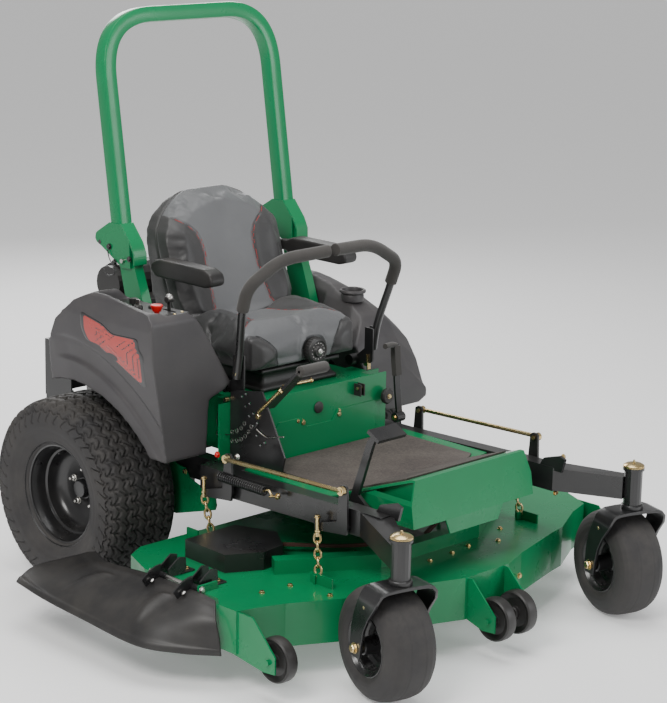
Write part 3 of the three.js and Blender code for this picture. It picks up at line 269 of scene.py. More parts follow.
# ---- Making pieces ----
class Shape:
    """The faces of one piece, gathered in millimetres in the machine's own frame."""

    def __init__(self, turn=None):
        self.corners = []
        self.faces = []
        self.inks = []
        self.turn = turn

    def add(self, corners, faces, ink=0):
        start = len(self.corners)
        if self.turn is not None:
            corners = [tuple(self.turn @ Vector(c)) for c in corners]
        self.corners += [tuple(c) for c in corners]
        self.faces += [tuple(start + i for i in face) for face in faces]
        self.inks += [ink] * len(faces)

    def block(self, low, high, ink=0):
        (x0, y0, z0), (x1, y1, z1) = low, high
        self.add([(x, y, z) for x in (x0, x1) for y in (y0, y1) for z in (z0, z1)],
                 [(0, 1, 3, 2), (4, 6, 7, 5), (0, 4, 5, 1), (2, 3, 7, 6), (0, 2, 6, 4), (1, 5, 7, 3)], ink)

    def plate(self, outline, axis, low, high, ink=0):
        """An outline across one axis, given on the other two, and thick from low to high."""
        def spot(u, v, w):
            return {"x": (w, u, v), "y": (u, w, v), "z": (u, v, w)}[axis]
        count = len(outline)
        area = sum(outline[i][0] * outline[(i + 1) % count][1] - outline[(i + 1) % count][0] * outline[i][1]
                   for i in range(count))
        if (area < 0) != (axis == "y"):
            outline = outline[::-1]
        self.add([spot(u, v, low) for u, v in outline] + [spot(u, v, high) for u, v in outline],
                 [tuple(range(count))[::-1], tuple(range(count, 2 * count))]
                 + [(i, (i + 1) % count, count + (i + 1) % count, count + i) for i in range(count)], ink)

    def sweep(self, path, section, ink=0, closed=False, up=(0, 0, 1)):
        """A section carried along a path, with its first direction kept near up."""
        spots = [Vector(p) for p in path]
        count, around = len(spots), len(section)
        corners = []
        side = None
        for i, spot in enumerate(spots):
            before = spots[i - 1] if (i or closed) else spots[0]
            after = spots[(i + 1) % count] if (i + 1 < count or closed) else spots[-1]
            along = (after - before).normalized()
            if side is None:
                rise = Vector(up)
                if abs(rise.dot(along)) > 0.95:
                    rise = Vector((0, 1, 0))
                side = rise.cross(along).normalized()
            side = (side - along * side.dot(along)).normalized()
            lift = along.cross(side)
            corners += [tuple(spot + side * u + lift * v) for u, v in section]
        faces = []
        for i in range(count if closed else count - 1):
            j = (i + 1) % count
            faces += [(i * around + k, i * around + (k + 1) % around, j * around + (k + 1) % around,
                       j * around + k) for k in range(around)]
        if not closed:
            faces += [tuple(range(around))[::-1], tuple((count - 1) * around + k for k in range(around))]
        self.add(corners, faces, ink)

    def tube(self, path, radius, sides=14, ink=0, closed=False):
        self.sweep(path, ring(radius, sides), ink, closed)

    def turned(self, profile, origin, axis, sides=32, ink=0):
        """A profile of (radius, distance) turned about an axis; a radius of 0 closes it to a point."""
        along = Vector(axis).normalized()
        side = along.orthogonal().normalized()
        lift = along.cross(side)
        start = Vector(origin)
        corners, rows = [], []
        for radius, distance in profile:
            if radius <= 1e-6:
                rows.append([len(corners)] * sides)
                corners.append(tuple(start + along * distance))
                continue
            rows.append(list(range(len(corners), len(corners) + sides)))
            corners += [tuple(start + along * distance + (side * math.cos(a) + lift * math.sin(a)) * radius)
                        for a in (2 * math.pi * k / sides for k in range(sides))]
        faces = []
        for low, high in zip(rows, rows[1:]):
            for k in range(sides):
                face = [low[k], low[(k + 1) % sides], high[(k + 1) % sides], high[k]]
                face = [c for i, c in enumerate(face) if c not in face[:i]]
                if len(face) > 2:
                    faces.append(tuple(face))
        self.add(corners, faces, ink)

    def bolt(self, spot, axis, size=8, ink=0, washer=True):
        """A hexagon head with a domed top on a washer, standing along axis."""
        if washer:
            self.turned([(0, -0.5), (size * 1.15, -0.5), (size * 1.15, 1.4), (0, 1.4)], spot, axis, 20, ink)
        self.turned([(0, 1.2), (size * 0.92, 1.2), (size * 0.92, size * 0.62), (size * 0.75, size * 0.8),
                     (0, size * 0.84)], spot, axis, 6, ink)

    def round_head(self, spot, axis, size=8, ink=0):
        self.turned([(0, -0.5), (size, -0.5), (size, 0.8), (size * 0.8, size * 0.32),
                     (size * 0.4, size * 0.5), (0, size * 0.56)], spot, axis, 18, ink)

    def hardware(self, name, body, *materials, in_slot="zinc"):
        """Bolts, pins and other small metal pieces, with fine edges."""
        return self.made(name, body, *materials, bevel=0.4, smooth=45, in_slot=in_slot)

    def made(self, name, body, *materials, stands_for=(), bevel=0.0, smooth=38, in_slot=None):
        mesh = bpy.data.meshes.new(name)
        mesh.from_pydata([at(*c) for c in self.corners], [], self.faces)
        mesh.validate()
        for material in materials:
            mesh.materials.append(material)
        if len(self.inks) == len(mesh.polygons):
            mesh.polygons.foreach_set("material_index", self.inks)
        work = bmesh.new()
        work.from_mesh(mesh)
        bmesh.ops.recalc_face_normals(work, faces=work.faces)
        work.to_mesh(mesh)
        work.free()
        return settle(name, mesh, body, stands_for, bevel, smooth)


def ring(radius, sides):
    return [(radius * math.cos(2 * math.pi * k / sides), radius * math.sin(2 * math.pi * k / sides))
            for k in range(sides)]


def strip(width, thick):
    return [(-width / 2, -thick / 2), (width / 2, -thick / 2), (width / 2, thick / 2),
            (-width / 2, thick / 2)]


def rounded(points, radius, steps=6):
    """A path through the points with its corners eased to a radius."""
    spots = [Vector(p) for p in points]
    path = [spots[0]]
    for before, corner, after in zip(spots, spots[1:], spots[2:]):
        back, onward = (before - corner), (after - corner)
        reach = min(radius, back.length * 0.48, onward.length * 0.48)
        start, end = corner + back.normalized() * reach, corner + onward.normalized() * reach
        for k in range(steps + 1):
            t = k / steps
            path.append(start * (1 - t) ** 2 + corner * 2 * t * (1 - t) + end * t ** 2)
    return path + [spots[-1]]


def settle(name, mesh, body, stands_for=(), bevel=0.0, smooth=38):
    piece = bpy.data.objects.new(name, mesh)
    bpy.context.scene.collection.objects.link(piece)
    soften_edges(piece, bevel, smooth)
    if body:
        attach(piece, body)
    if stands_for:
        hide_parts(*stands_for)
    return piece


def soften_edges(piece, bevel, smooth):
    piece.data.polygons.foreach_set("use_smooth", [True] * len(piece.data.polygons))
    if smooth < 180:
        piece.data.set_sharp_from_angle(angle=math.radians(smooth))
    if bevel:
        edge = piece.modifiers.new("eased_edges", "BEVEL")
        edge.width = bevel / 1000
        edge.segments = 2
        edge.limit_method = "ANGLE"
        edge.angle_limit = math.radians(35)
        edge.harden_normals = True


def keep(material, *names, bevel=1.5, smooth=35):
    """CAD nodes whose shape is right, with their finish and eased edges."""
    for name in names:
        piece = node[name]
        piece.data.materials.clear()
        piece.data.materials.append(material)
        piece.data.polygons.foreach_set("material_index", [0] * len(piece.data.polygons))
        soften_edges(piece, bevel, smooth)


def on_surface(tree, spot, direction):
    """Where a line from a place along a direction first meets a surface, and the way it faces."""
    hit, normal, _, _ = tree.ray_cast(at(*spot), Vector(direction))
    return hit, normal


# ---- Frame and sheet metal that keep their CAD shape ----
keep(green_paint, "foot_pan", "seat_box", "rops_post_right", "rops_post_left", bevel=2.0)
keep(green_paint, "deck_shell", bevel=2.2)
keep(black_paint, "main_frame", "front_rail_right", "front_rail_left", "rear_guard", "height_plate",
     bevel=1.6)
keep(black_paint, "lift_shaft_rear", "lift_shaft_front", "lift_pedal", "belt_cover_right", "belt_cover_left",
     bevel=1.6)
keep(black_paint, "lever_base_right", "lever_base_left", bevel=0.8)
keep(cast_alloy, "engine_block", "muffler", "hydro_right", "hydro_left", bevel=2.5)
keep(black_moulding, "engine_shroud", bevel=6)
keep(worn_steel, "blade_right", "blade_centre", "blade_left", bevel=0.8)
keep(floor_mat_rubber, "floor_mat", bevel=1.0)
keep(yellow_zinc, "lift_rod_right", "lift_rod_left", bevel=0.6)


# ---- Wheels ----
def tyre_mesh(place, flank, around, relief):
    """A tyre as a fine grid about its axle: flank gives (across, radius) from the crown to the bead."""
    points = np.array(flank, float)
    along = np.concatenate([[0], np.cumsum(np.hypot(*np.diff(points, axis=0).T))])
    reach = along[-1]
    steps = np.arange(-reach, reach + 1e-6, 3.2)
    across = np.interp(np.abs(steps), along, points[:, 0]) * np.sign(steps)
    radius = np.interp(np.abs(steps), along, points[:, 1])
    turn = np.arange(around) / around
    grid_l, grid_t = np.meshgrid(steps, turn)
    depth = relief(grid_l, grid_t)
    r = radius[None, :] - depth * np.clip((250 - np.abs(grid_l)) / 100, 0, 1)
    x = np.repeat(across[None, :], around, 0) - np.sign(grid_l) * depth * np.clip((np.abs(grid_l) - 110) / 60,
                                                                                  0, 1)
    angle = grid_t * 2 * math.pi
    corners = np.stack([x, r * np.cos(angle), r * np.sin(angle)], -1).reshape(-1, 3)
    count = len(steps)
    faces = [(i * count + j, i * count + j + 1, (i + 1) % around * count + j + 1,
              (i + 1) % around * count + j) for i in range(around) for j in range(count - 1)]
    faces += [((i + 1) % around * count + count - 1, i * count + count - 1, i * count,
               (i + 1) % around * count) for i in range(around)]
    shape = Shape(turn=place)
    shape.add([tuple(c) for c in corners], faces)
    return shape


def turf_tread(across, turn):
    """Curved turf blocks: wavy channels round the tyre, with slanted channels staggered between them."""
    pitch = 40
    lane = (across + 7 * np.sin(2 * math.pi * turn * pitch)) / 36
    step = turn * pitch + 0.5 * (np.floor(lane) % 2) + 0.28 * np.sin(2 * math.pi * lane)
    ring_gap = np.abs((lane + 0.5) % 1 - 0.5) * 36 + 8 * (np.abs(across) > 150)
    cross_gap = np.abs((step + 0.5) % 1 - 0.5) * 40
    channel = np.minimum(ring_gap, cross_gap)
    tread = np.clip((4.0 - channel) / 1.6, 0, 1) * 8 * np.clip((186 - np.abs(across)) / 20, 0, 1)
    rings = 1.2 * np.clip(np.sin(np.abs(across) / 6.5), 0, 1) * (np.abs(across) > 205)
    return tread + rings


def plain_tread(across, turn):
    """A smooth caster tread with two fine lines and a raised bead line."""
    lines = np.clip((2.6 - np.abs(np.abs(across) - 24)) / 1.5, 0, 1) * 1.6
    flank = 0.9 * np.clip(np.sin(np.abs(across) / 4.4), 0, 1) * (np.abs(across) > 108)
    return lines + flank + 0 * turn


DRIVE_FLANK = [(0, 305), (60, 304.6), (98, 301), (116, 295), (126, 285), (131, 268), (132, 244), (130, 220),
               (124, 198), (117, 180), (113, 168), (104, 158), (96, 154)]
CASTER_FLANK = [(0, 165), (26, 164.6), (46, 161), (60, 154), (70, 143), (76.5, 129), (79, 115), (77.5, 102),
                (72, 92), (66, 87), (58, 82)]


def wheel_turn(x, y, z, yaw):
    return Matrix.Translation((x, y, z)) @ Matrix.Rotation(math.radians(yaw), 4, "Z")


def drive_wheel(name, side):
    place = wheel_turn(side * DRIVE_X, 0, DRIVE_RADIUS, 0)
    tyre = tyre_mesh(place, DRIVE_FLANK, 640, turf_tread)
    tyre.made(f"drive_tyre_{name}", f"drive_wheel_{name}", tyre_rubber, stands_for=[f"rear_tyre_{name}"],
              smooth=180, in_slot="tread_rubber")
    rim = Shape(turn=place)
    out = (side, 0, 0)
    rim.turned([(0, 6), (34, 6), (40, 0), (58, -4), (92, -2), (112, 4), (124, 14), (129, 30), (131, 48),
                (138, 52), (141, 66), (143, 84), (150, 92), (152, 100), (160, 103), (164, 108), (166, 113),
                (169, 111), (169, 104), (163, 98), (153, 94), (150, 84), (149, -84), (153, -94), (163, -98),
                (169, -104), (169, -111), (166, -113), (160, -104), (150, -100), (144, -90), (138, -20),
                (120, -8), (60, -14), (0, -14)], (0, 0, 0), out, 72)
    rim.turned([(0, 2), (30, 2), (30, 20), (26, 26), (0, 28)], (0, 0, 0), out, 36)
    for k in range(5):
        a = 2 * math.pi * (k + 0.25) / 5
        spot = (side * -2, 62 * math.cos(a), 62 * math.sin(a))
        rim.bolt(spot, out, 11, ink=1)
        rim.turned([(0, 8), (5.5, 8), (5.5, 17), (4, 19), (0, 19)], spot, out, 12, ink=1)
    rim.turned([(0, -2), (4, -2), (4, 22), (2.5, 26), (0, 26)], (side * 78, 0, 132), out, 10)
    rim.made(f"drive_rim_{name}", f"drive_wheel_{name}", black_paint, bright_zinc,
             stands_for=[f"rear_rim_{name}"], bevel=0.8, in_slot="black_paint")


def caster_assembly(name, side):
    pivot = wheel_turn(side * CASTER_X, CASTER_Y, 0, CASTER_YAW[name])
    wheel = pivot @ Matrix.Translation((0, CASTER_TRAIL, CASTER_RADIUS))
    tyre = tyre_mesh(wheel, CASTER_FLANK, 160, plain_tread)
    tyre.made(f"caster_tread_{name}", f"caster_wheel_{name}", tyre_rubber, stands_for=[f"caster_tyre_{name}"],
              smooth=180, in_slot="tread_rubber")
    rim = Shape(turn=wheel)
    half = [(0, 84), (20, 84), (24, 81), (25, 60), (28, 36), (40, 25), (58, 24), (68, 32), (72, 46), (74, 56),
            (80, 60), (86, 63), (89, 67), (90, 71), (87, 72), (82, 66), (77, 60), (75, 50)]
    rim.turned(half + [(r, -d) for r, d in reversed(half)], (0, 0, 0), (1, 0, 0), 56)
    rim.made(f"caster_hub_{name}", f"caster_wheel_{name}", black_paint, stands_for=[f"caster_rim_{name}"],
             bevel=0.6, in_slot="black_paint")
    fork = Shape(turn=pivot)
    stations = [(99, 61, 138, 22), (99, 60, 175, 27), (99, 52, 225, 31), (99, 34, 268, 37), (98, 12, 305, 44),
                (93, 4, 328, 45), (82, 3, 341, 45), (66, 3, 346, 45), (30, 3, 348, 45)]
    line = stations + [(-x, y, z, w) for x, y, z, w in reversed(stations)]
    corners, faces = [], []
    for i, (x, y, z, width) in enumerate(line):
        before, after = line[max(i - 1, 0)], line[min(i + 1, len(line) - 1)]
        dx, dz = after[0] - before[0], after[2] - before[2]
        size = math.hypot(dx, dz)
        nx, nz = -dz / size * 5, dx / size * 5
        corners += [(x + nx, y - width, z + nz), (x + nx, y + width, z + nz), (x - nx, y + width, z - nz),
                    (x - nx, y - width, z - nz)]
    for i in range(len(line) - 1):
        faces += [(4 * i + k, 4 * i + (k + 1) % 4, 4 * i + 4 + (k + 1) % 4, 4 * i + 4 + k) for k in range(4)]
    faces += [(3, 2, 1, 0), tuple(len(corners) - 4 + k for k in range(4))]
    fork.add(corners, faces)
    fork.turned([(0, 340), (31, 340), (31, 350), (28, 352.4), (0, 352.4)], (0, 0, 0), (0, 0, 1), 32)
    fork.turned([(0, 350), (13.6, 350), (13.6, 468), (0, 468)], (0, 0, 0), (0, 0, 1), 24)
    fork.made(f"caster_strap_{name}", f"fork_{name}", black_paint, stands_for=[f"caster_fork_{name}"],
              bevel=2.2, smooth=50, in_slot="black_paint")
    axle = Shape(turn=pivot)
    axle.turned([(0, -112), (9, -112), (9, 112), (0, 112)], (0, CASTER_TRAIL, CASTER_RADIUS), (1, 0, 0), 18)
    for end in (-1, 1):
        axle.bolt((end * 105, CASTER_TRAIL, CASTER_RADIUS), (end, 0, 0), 14)
        axle.bolt((end * 99, 22, 294), (end, 0, 0), 6, washer=False)
    axle.made(f"caster_axle_{name}", f"fork_{name}", yellow_zinc, bevel=0.5, in_slot="zinc")
    cap = Shape()
    foot = (side * CASTER_X, CASTER_Y, 0)
    cap.turned([(0, 481), (31, 481), (33, 484), (32, 489), (24, 494), (10, 497), (0, 497)], foot, (0, 0, 1),
               36)
    cap.turned([(0, 496), (5, 496), (5, 499), (3.4, 501.6), (3.4, 505), (0, 506)], foot, (0, 0, 1), 14)
    cap.turned([(29.5, 352.8), (34, 353.5), (34, 364), (29.5, 367), (28, 366), (28, 353.2), (29.5, 352.8)],
               foot, (0, 0, 1), 36, ink=1)
    cap.made(f"caster_pivot_cap_{name}", "chassis", yellow_zinc, black_paint, bevel=0.5, in_slot="zinc")


for name, side in SIDES:
    drive_wheel(name, side)
for name, side in SIDES:
    caster_assembly(name, side)


# ---- Moulded covers ----
def baked(mesh, *modifiers):
    """A mesh with modifiers applied: each is (kind, settings)."""
    work = bpy.data.objects.new("work", mesh)
    bpy.context.scene.collection.objects.link(work)
    for kind, settings in modifiers:
        modifier = work.modifiers.new(kind.lower(), kind)
        for label, value in settings.items():
            setattr(modifier, label, value)
    result = bpy.data.meshes.new_from_object(work.evaluated_get(bpy.context.evaluated_depsgraph_get()))
    bpy.data.objects.remove(work)
    return result


def worked_copy(source, voxel, passes, grow=0.0):
    """A CAD solid's mesh, remeshed evenly and smoothed so its edges run round like a moulding's."""
    mesh = baked(node[source].data.copy(), ("REMESH", {"mode": "VOXEL", "voxel_size": voxel / 1000}),
                 ("SMOOTH", {"factor": 0.5, "iterations": passes}))
    if grow:
        normals = [v.normal.copy() for v in mesh.vertices]
        for vertex, normal in zip(mesh.vertices, normals):
            vertex.co += normal * (grow / 1000)
    mesh.materials.clear()
    return mesh


def ease(value, low, high):
    t = min(max((value - low) / (high - low), 0.0), 1.0)
    return t * t * (3 - 2 * t)


def moulding(name, source, body, material, voxel, passes, shape=None):
    mesh = worked_copy(source, voxel, passes)
    mesh.materials.append(material)
    if shape:
        moves = [shape(*local(v.co), v.normal) for v in mesh.vertices]
        for vertex, move in zip(mesh.vertices, moves):
            vertex.co += Vector(move) / 1000
    return settle(name, mesh, body, [source], 0, 180)


def fender_bands(x, y, z, normal):
    """Bands that follow the wheel arch on a fender's outer side: a raised lip, then a shallow hollow."""
    outward = 1 if x > 0 else -1
    facing = ease(normal.x * outward, 0.55, 0.9) * ease(-y, -30, 40)
    gap = math.hypot(y + 45, z - 290) - 386 + 26 * ease(-y, 60, 420)
    band = 4 * (1 - ease(gap, 66, 78)) - 6 * ease(gap, 70, 84) * (1 - ease(gap, 136, 150))
    crown = 5 * math.exp(-((y + 250) / 190) ** 2 - ((z - 850) / 90) ** 2)
    return outward * facing * (band + crown - 4), 0, 0


FENDER_VOXEL = 5
fenders = {name: moulding(f"fender_cover_{name}", f"fender_{name}", "chassis", fender_moulding, FENDER_VOXEL,
                          7, shape=fender_bands) for name, _ in SIDES}
for name, _ in SIDES:
    moulding(f"armrest_pad_{name}", f"armrest_{name}", f"armrest_{name}_arm", black_moulding, 4, 24)
boot = moulding("seat_boot", "seat_suspension", "seat_base", black_moulding, 6, 6)
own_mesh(boot)


# ---- Discharge chute ----
def chute_cover():
    """The moulded cover from its hinge edge down to its lip: four lines of places, each from front to rear."""
    hinge_edge = [(-757, -893, 236), (-760, -820, 243), (-760, -720, 244), (-760, -590, 239),
                  (-754, -420, 223), (-682, -264, 201)]
    upper_bend = [(-794, -938, 200), (-818, -860, 213), (-838, -712, 209), (-838, -535, 205),
                  (-822, -360, 195), (-750, -198, 179)]
    lower_bend = [(-798, -958, 150), (-868, -850, 162), (-903, -740, 167), (-903, -540, 166),
                  (-888, -340, 164), (-842, -160, 161)]
    lip = [(-800, -968, 104), (-878, -880, 106), (-941, -764, 112), (-942, -540, 122), (-942, -350, 134),
           (-930, -196, 146)]
    grid = np.array([hinge_edge, upper_bend, lower_bend, lip], float)

    def smoothed(lines, steps):
        padded = np.concatenate([2 * lines[:1] - lines[1:2], lines, 2 * lines[-1:] - lines[-2:-1]])
        out = []
        for i in range(len(lines) - 1):
            a, b, c, d = padded[i:i + 4]
            for k in range(steps):
                t = k / steps
                out.append(0.5 * (2 * b + (c - a) * t + (2 * a - 5 * b + 4 * c - d) * t * t
                                  + (3 * b - a - 3 * c + d) * t ** 3))
        return np.array(out + [lines[-1]])

    fine = smoothed(grid, 18)
    fine = smoothed(fine.transpose(1, 0, 2), 20).transpose(1, 0, 2)
    down, along = fine.shape[:2]
    corners = []
    for i in range(down):
        for j in range(along):
            x, y, z = fine[i, j]
            u, w = i / (down - 1), j / (along - 1)
            lift = 4 * math.exp(-((u - 0.93) / 0.045) ** 2) + 3 * math.exp(-((u - 0.10) / 0.05) ** 2)
            for middle in (0.34, 0.66):
                width = 0.030 * (1.2 - u)
                ends = ease(u, 0.16, 0.24) * (1 - ease(u, 0.5, 0.8))
                lift += 9 * math.exp(-((w - middle - 0.12 * u) / width) ** 2) * ends
            corners.append((x - lift * 0.25, y, z + lift - 3))
    faces = [(i * along + j, i * along + j + 1, (i + 1) * along + j + 1, (i + 1) * along + j)
             for i in range(down - 1) for j in range(along - 1)]
    shape = Shape()
    shape.add(corners, faces)
    cover = shape.made("chute_cover", "chute", black_moulding, stands_for=["discharge_chute"], smooth=60,
                       in_slot="black_plastic")
    wall = cover.modifiers.new("wall", "SOLIDIFY")
    wall.thickness = 0.005
    wall.offset = 0
    straps = Shape()
    for y in CHUTE_STRAPS_Y:
        straps.turned([(0, -26), (10, -26), (10, 26), (0, 26)], (CHUTE_HINGE_X, y, CHUTE_HINGE_Z), (0, 1, 0),
                      20)
        straps.sweep(rounded([(-750, y, 257), (-776, y, 254), (-812, y, 228)], 14), strip(44, 5),
                     up=(0, 1, 0))
        straps.round_head((-795, y - 11, 241), (-0.5, 0, 0.86), 7, ink=1)
        straps.round_head((-795, y + 11, 241), (-0.5, 0, 0.86), 7, ink=1)
    straps.turned([(0, -826), (6, -826), (6, -614), (0, -614)], (CHUTE_HINGE_X, 0, CHUTE_HINGE_Z), (0, 1, 0),
                  16, ink=1)
    for y, out in ((-829, -1), (-611, 1)):
        straps.bolt((CHUTE_HINGE_X, y, CHUTE_HINGE_Z), (0, out, 0), 9, ink=1)
    brackets = Shape()
    for y in CHUTE_STRAPS_Y:
        for edge in (-19, 19):
            brackets.plate([(-742, 239), (-690, 239), (-672, 252), (-676, 286), (-700, 292), (-742, 262)],
                           "y", y + edge - 2.5, y + edge + 2.5)
        brackets.block((-690, y - 21, 237), (-640, y + 21, 242))
        brackets.bolt((-655, y, 242), (0, 0, 1), 8, ink=1)
    brackets.made("chute_brackets", "deck", black_paint, yellow_zinc, bevel=1.0, smooth=45,
                  in_slot="black_paint")
    straps.made("chute_hinge_straps", "chute", black_paint, bright_zinc, bevel=0.8, smooth=45,
                in_slot="black_paint")


chute_cover()


# ---- Levers and bars ----
def lap_bar(name, side):
    bar = Shape()
    x = 296.5
    bar.tube(rounded([(side * x, -466, 716), (side * x, -479, 800), (side * 319, -513, 930),
                      (side * 320, -520, 965)], 60), 12.5, 18)
    bar.block((side * x - 4, -478, 714), (side * x + 4, -452, 790))
    for z in (732, 778):
        bar.bolt((side * x - side * 4 if side > 0 else side * x - 5, -465 - (z - 711) * 0.15, z), (-1, 0, 0),
                 8.5, ink=1)
    bar.made(f"lap_bar_tube_{name}", f"bar_{name}", black_paint, yellow_zinc, stands_for=[f"lap_bar_{name}"],
             bevel=0.5, smooth=50, in_slot="black_paint")
    grip = Shape()
    path = rounded([(side * 319, -514, 938), (side * 322, -540, 1012), (side * 196, -548, 1084),
                    (side * 14, -566, 1090)], 62, 12)
    grip.tube(path, 19.5, 26)
    grip.made(f"lap_bar_foam_{name}", f"bar_{name}", grip_foam, bevel=3, smooth=60, in_slot="foam_grip")


for name, side in SIDES:
    lap_bar(name, side)

handle = Shape()
handle.sweep([(-293, -566, 618), (-293, -578, 630), (-293, -748, 794)], strip(8, 26), up=(1, 0, 0))
handle.sweep([(-287, -600, 650), (-287, -742, 788)], strip(10, 44), up=(1, 0, 0))
handle.turned([(0, -14), (13, -14), (17, -10), (17, 92), (15, 97), (0, 97)], (-293, -750, 793), (1, 0, 0), 30,
              ink=1)
handle.turned([(0, -4), (6, -4), (6, -14), (0, -14)], (-293, -750, 793), (1, 0, 0), 12, ink=2)
handle.made("height_handle_arm", "height_handle", black_paint, grip_foam, bright_zinc,
            stands_for=["lift_handle"], bevel=1.2, smooth=45, in_slot="black_paint")

brake = Shape()
brake.sweep(rounded([(322, -566, 506), (322, -552, 600), (322, -541, 742)], 40), strip(8, 24), up=(1, 0, 0))
brake.sweep([(322, -551, 640), (322, -544, 690), (322, -541, 736)], strip(20, 26), ink=1, up=(1, 0, 0))
brake.sweep(rounded([(322, -541, 738), (300, -545, 744), (258, -556, 746)], 12), ring(9, 16), ink=1)
brake.turned([(0, -22), (16, -22), (16, 14), (0, 14)], (322, -566, 506), (1, 0, 0), 28)
brake.bolt((300, -566, 506), (-1, 0, 0), 8, ink=2)
brake.made("park_brake_lever", "park_brake", black_paint, grip_foam, yellow_zinc, stands_for=["brake_lever"],
           bevel=2, smooth=45, in_slot="black_paint")


# ---- Seat ----
def spread(table):
    """A line through a table of (input, output) rows, read by numpy."""
    rows = sorted(table)
    return lambda value: np.interp(value, [r[0] for r in rows], [r[1] for r in rows])


BACK_FACE = spread([(716, -165), (838, -158), (950, -112), (1080, -70), (1180, -36), (1224, -10)])
BACK_SEAM = spread([(720, 128), (830, 128), (870, 120), (925, 112), (980, 108), (1020, 106), (1060, 110),
                    (1090, 124), (1112, 148), (1133, 180), (1150, 225), (1160, 300)])
TOP_SEAM = spread([(-150, 48), (-200, 60), (-250, 75), (-300, 94), (-338, 114), (-368, 160), (-388, 200),
                   (-400, 245), (-430, 400)])
PILLOW_EDGE = spread([(716, 116), (730, 118), (778, 132), (800, 150), (822, 178), (836, 240)])
DIAL = (35, 752)


def smooth_step(value, low, high):
    t = np.clip((value - low) / (high - low), 0, 1)
    return t * t * (3 - 2 * t)


def corners_of(mesh):
    flat = np.empty(len(mesh.vertices) * 3)
    mesh.vertices.foreach_get("co", flat)
    places = flat.reshape(-1, 3) * 1000
    return places - ORIGIN


def set_corners(mesh, places):
    mesh.vertices.foreach_set("co", ((places + ORIGIN) / 1000).ravel())
    mesh.update()


def normals_of(mesh):
    flat = np.empty(len(mesh.vertices) * 3)
    mesh.vertices.foreach_get("normal", flat)
    return flat.reshape(-1, 3)


def swollen(mesh, cap, hold):
    """The mesh as a skin blown tight over its filling; hold gives how far each corner may follow, 0 to 1."""
    start = corners_of(mesh)
    work = bpy.data.objects.new("skin", mesh)
    bpy.context.scene.collection.objects.link(work)
    air = work.modifiers.new("air", "CLOTH")
    air.settings.use_pressure = True
    air.settings.uniform_pressure_force = 4
    air.settings.effector_weights.gravity = 0
    air.collision_settings.use_collision = False
    air.point_cache.frame_start, air.point_cache.frame_end = 1, 20
    scene = bpy.context.scene
    for number in range(1, 21):
        scene.frame_set(number)
    result = bpy.data.meshes.new_from_object(work.evaluated_get(bpy.context.evaluated_depsgraph_get()))
    scene.frame_set(1)
    bpy.data.objects.remove(work)
    move = corners_of(result) - start
    reach = np.linalg.norm(move, axis=1, keepdims=True)
    move *= np.minimum(1, cap / np.maximum(reach, 1e-6)) * hold(start)[:, None]
    set_corners(result, start + move)
    return baked(result, ("SMOOTH", {"factor": 0.5, "iterations": 4}))


def padded_piece(name, source, cap, hold, form, dark):
    """A cushion from a CAD solid: shrunk, blown up, subdivided, then formed with seams and two colours."""
    mesh = worked_copy(source, 6, 16, grow=-5)
    mesh = swollen(mesh, cap, hold)
    mesh = baked(mesh, ("SUBSURF", {"levels": 1, "subdivision_type": "CATMULL_CLARK"}))
    places, normals = corners_of(mesh), normals_of(mesh)
    set_corners(mesh, places + form(places, normals))
    for material in (seat_grey, seat_dark):
        mesh.materials.append(material)
    flat = np.empty(len(mesh.polygons) * 3)
    mesh.polygons.foreach_get("center", flat)
    centres = flat.reshape(-1, 3) * 1000 - ORIGIN
    mesh.polygons.foreach_set("material_index", dark(centres).astype(int))
    piece = settle(name, mesh, "seat", [source], 0, 180)
    return piece


def groove(distance, width, depth):
    return depth * np.exp(-(distance / width) ** 2)


def back_form(p, n):
    x, y, z = np.abs(p[:, 0]), p[:, 1], p[:, 2]
    front = smooth_step(-n[:, 1], 0.0, 0.5) * (y < BACK_FACE(z) + 60)
    beyond = x - BACK_SEAM(z)
    bolster = 15 * smooth_step(beyond, 0, 70) * (1 - 0.8 * smooth_step(x, 215, 256)) * smooth_step(z, 800,
                                                                                                   880)
    hollow = 7 * np.exp(-(x / 95) ** 2) * smooth_step(z, 880, 1000) * (1 - smooth_step(z, 1120, 1210))
    push = bolster - hollow - groove(beyond, 5, 4.5) * (z < 1162)
    wrap = groove(y - BACK_FACE(z) - 46, 4, 3.5) * (z > 760)
    out = np.zeros_like(p)
    out[:, 1] = -push * front
    return out - n * (wrap * (1 - front))[:, None]


def back_dark(c):
    x, y, z = np.abs(c[:, 0]), c[:, 1], c[:, 2]
    return (y > BACK_FACE(z) + 46) | ((x > BACK_SEAM(z)) & (z < 1162))


def cushion_form(p, n):
    x, y, z = np.abs(p[:, 0]), p[:, 1], p[:, 2]
    up = smooth_step(n[:, 2], 0.2, 0.7)
    beyond = x - TOP_SEAM(y)
    mound = 24 * smooth_step(beyond, 0, 75) * smooth_step(-y, 100, 170) * (1 - smooth_step(-y, 250, 410))
    mound *= 1 - 0.6 * smooth_step(x, 205, 240)
    dish = 5 * np.exp(-(x / 130) ** 2 - ((y + 300) / 110) ** 2)
    front = smooth_step(-n[:, 1], 0.2, 0.7) * (y < -440)
    pillow = x - PILLOW_EDGE(z)
    puff = 7 * smooth_step(pillow, 0, 26) * smooth_step(z, 716, 740) * (1 - smooth_step(z, 806, 836))
    line = groove(z - 826 + 0.00035 * x * x, 5, 2.5) * (x < 180) * (y < -450)
    out = np.zeros_like(p)
    out[:, 2] = up * (mound - dish - groove(beyond, 5, 4) * (y > -405))
    out[:, 1] = -front * (puff - groove(pillow, 4, 4)) + line
    around = np.hypot(p[:, 0] - DIAL[0], z - DIAL[1])
    out[:, 1] += front * groove(around - 54, 7, 3)
    return out


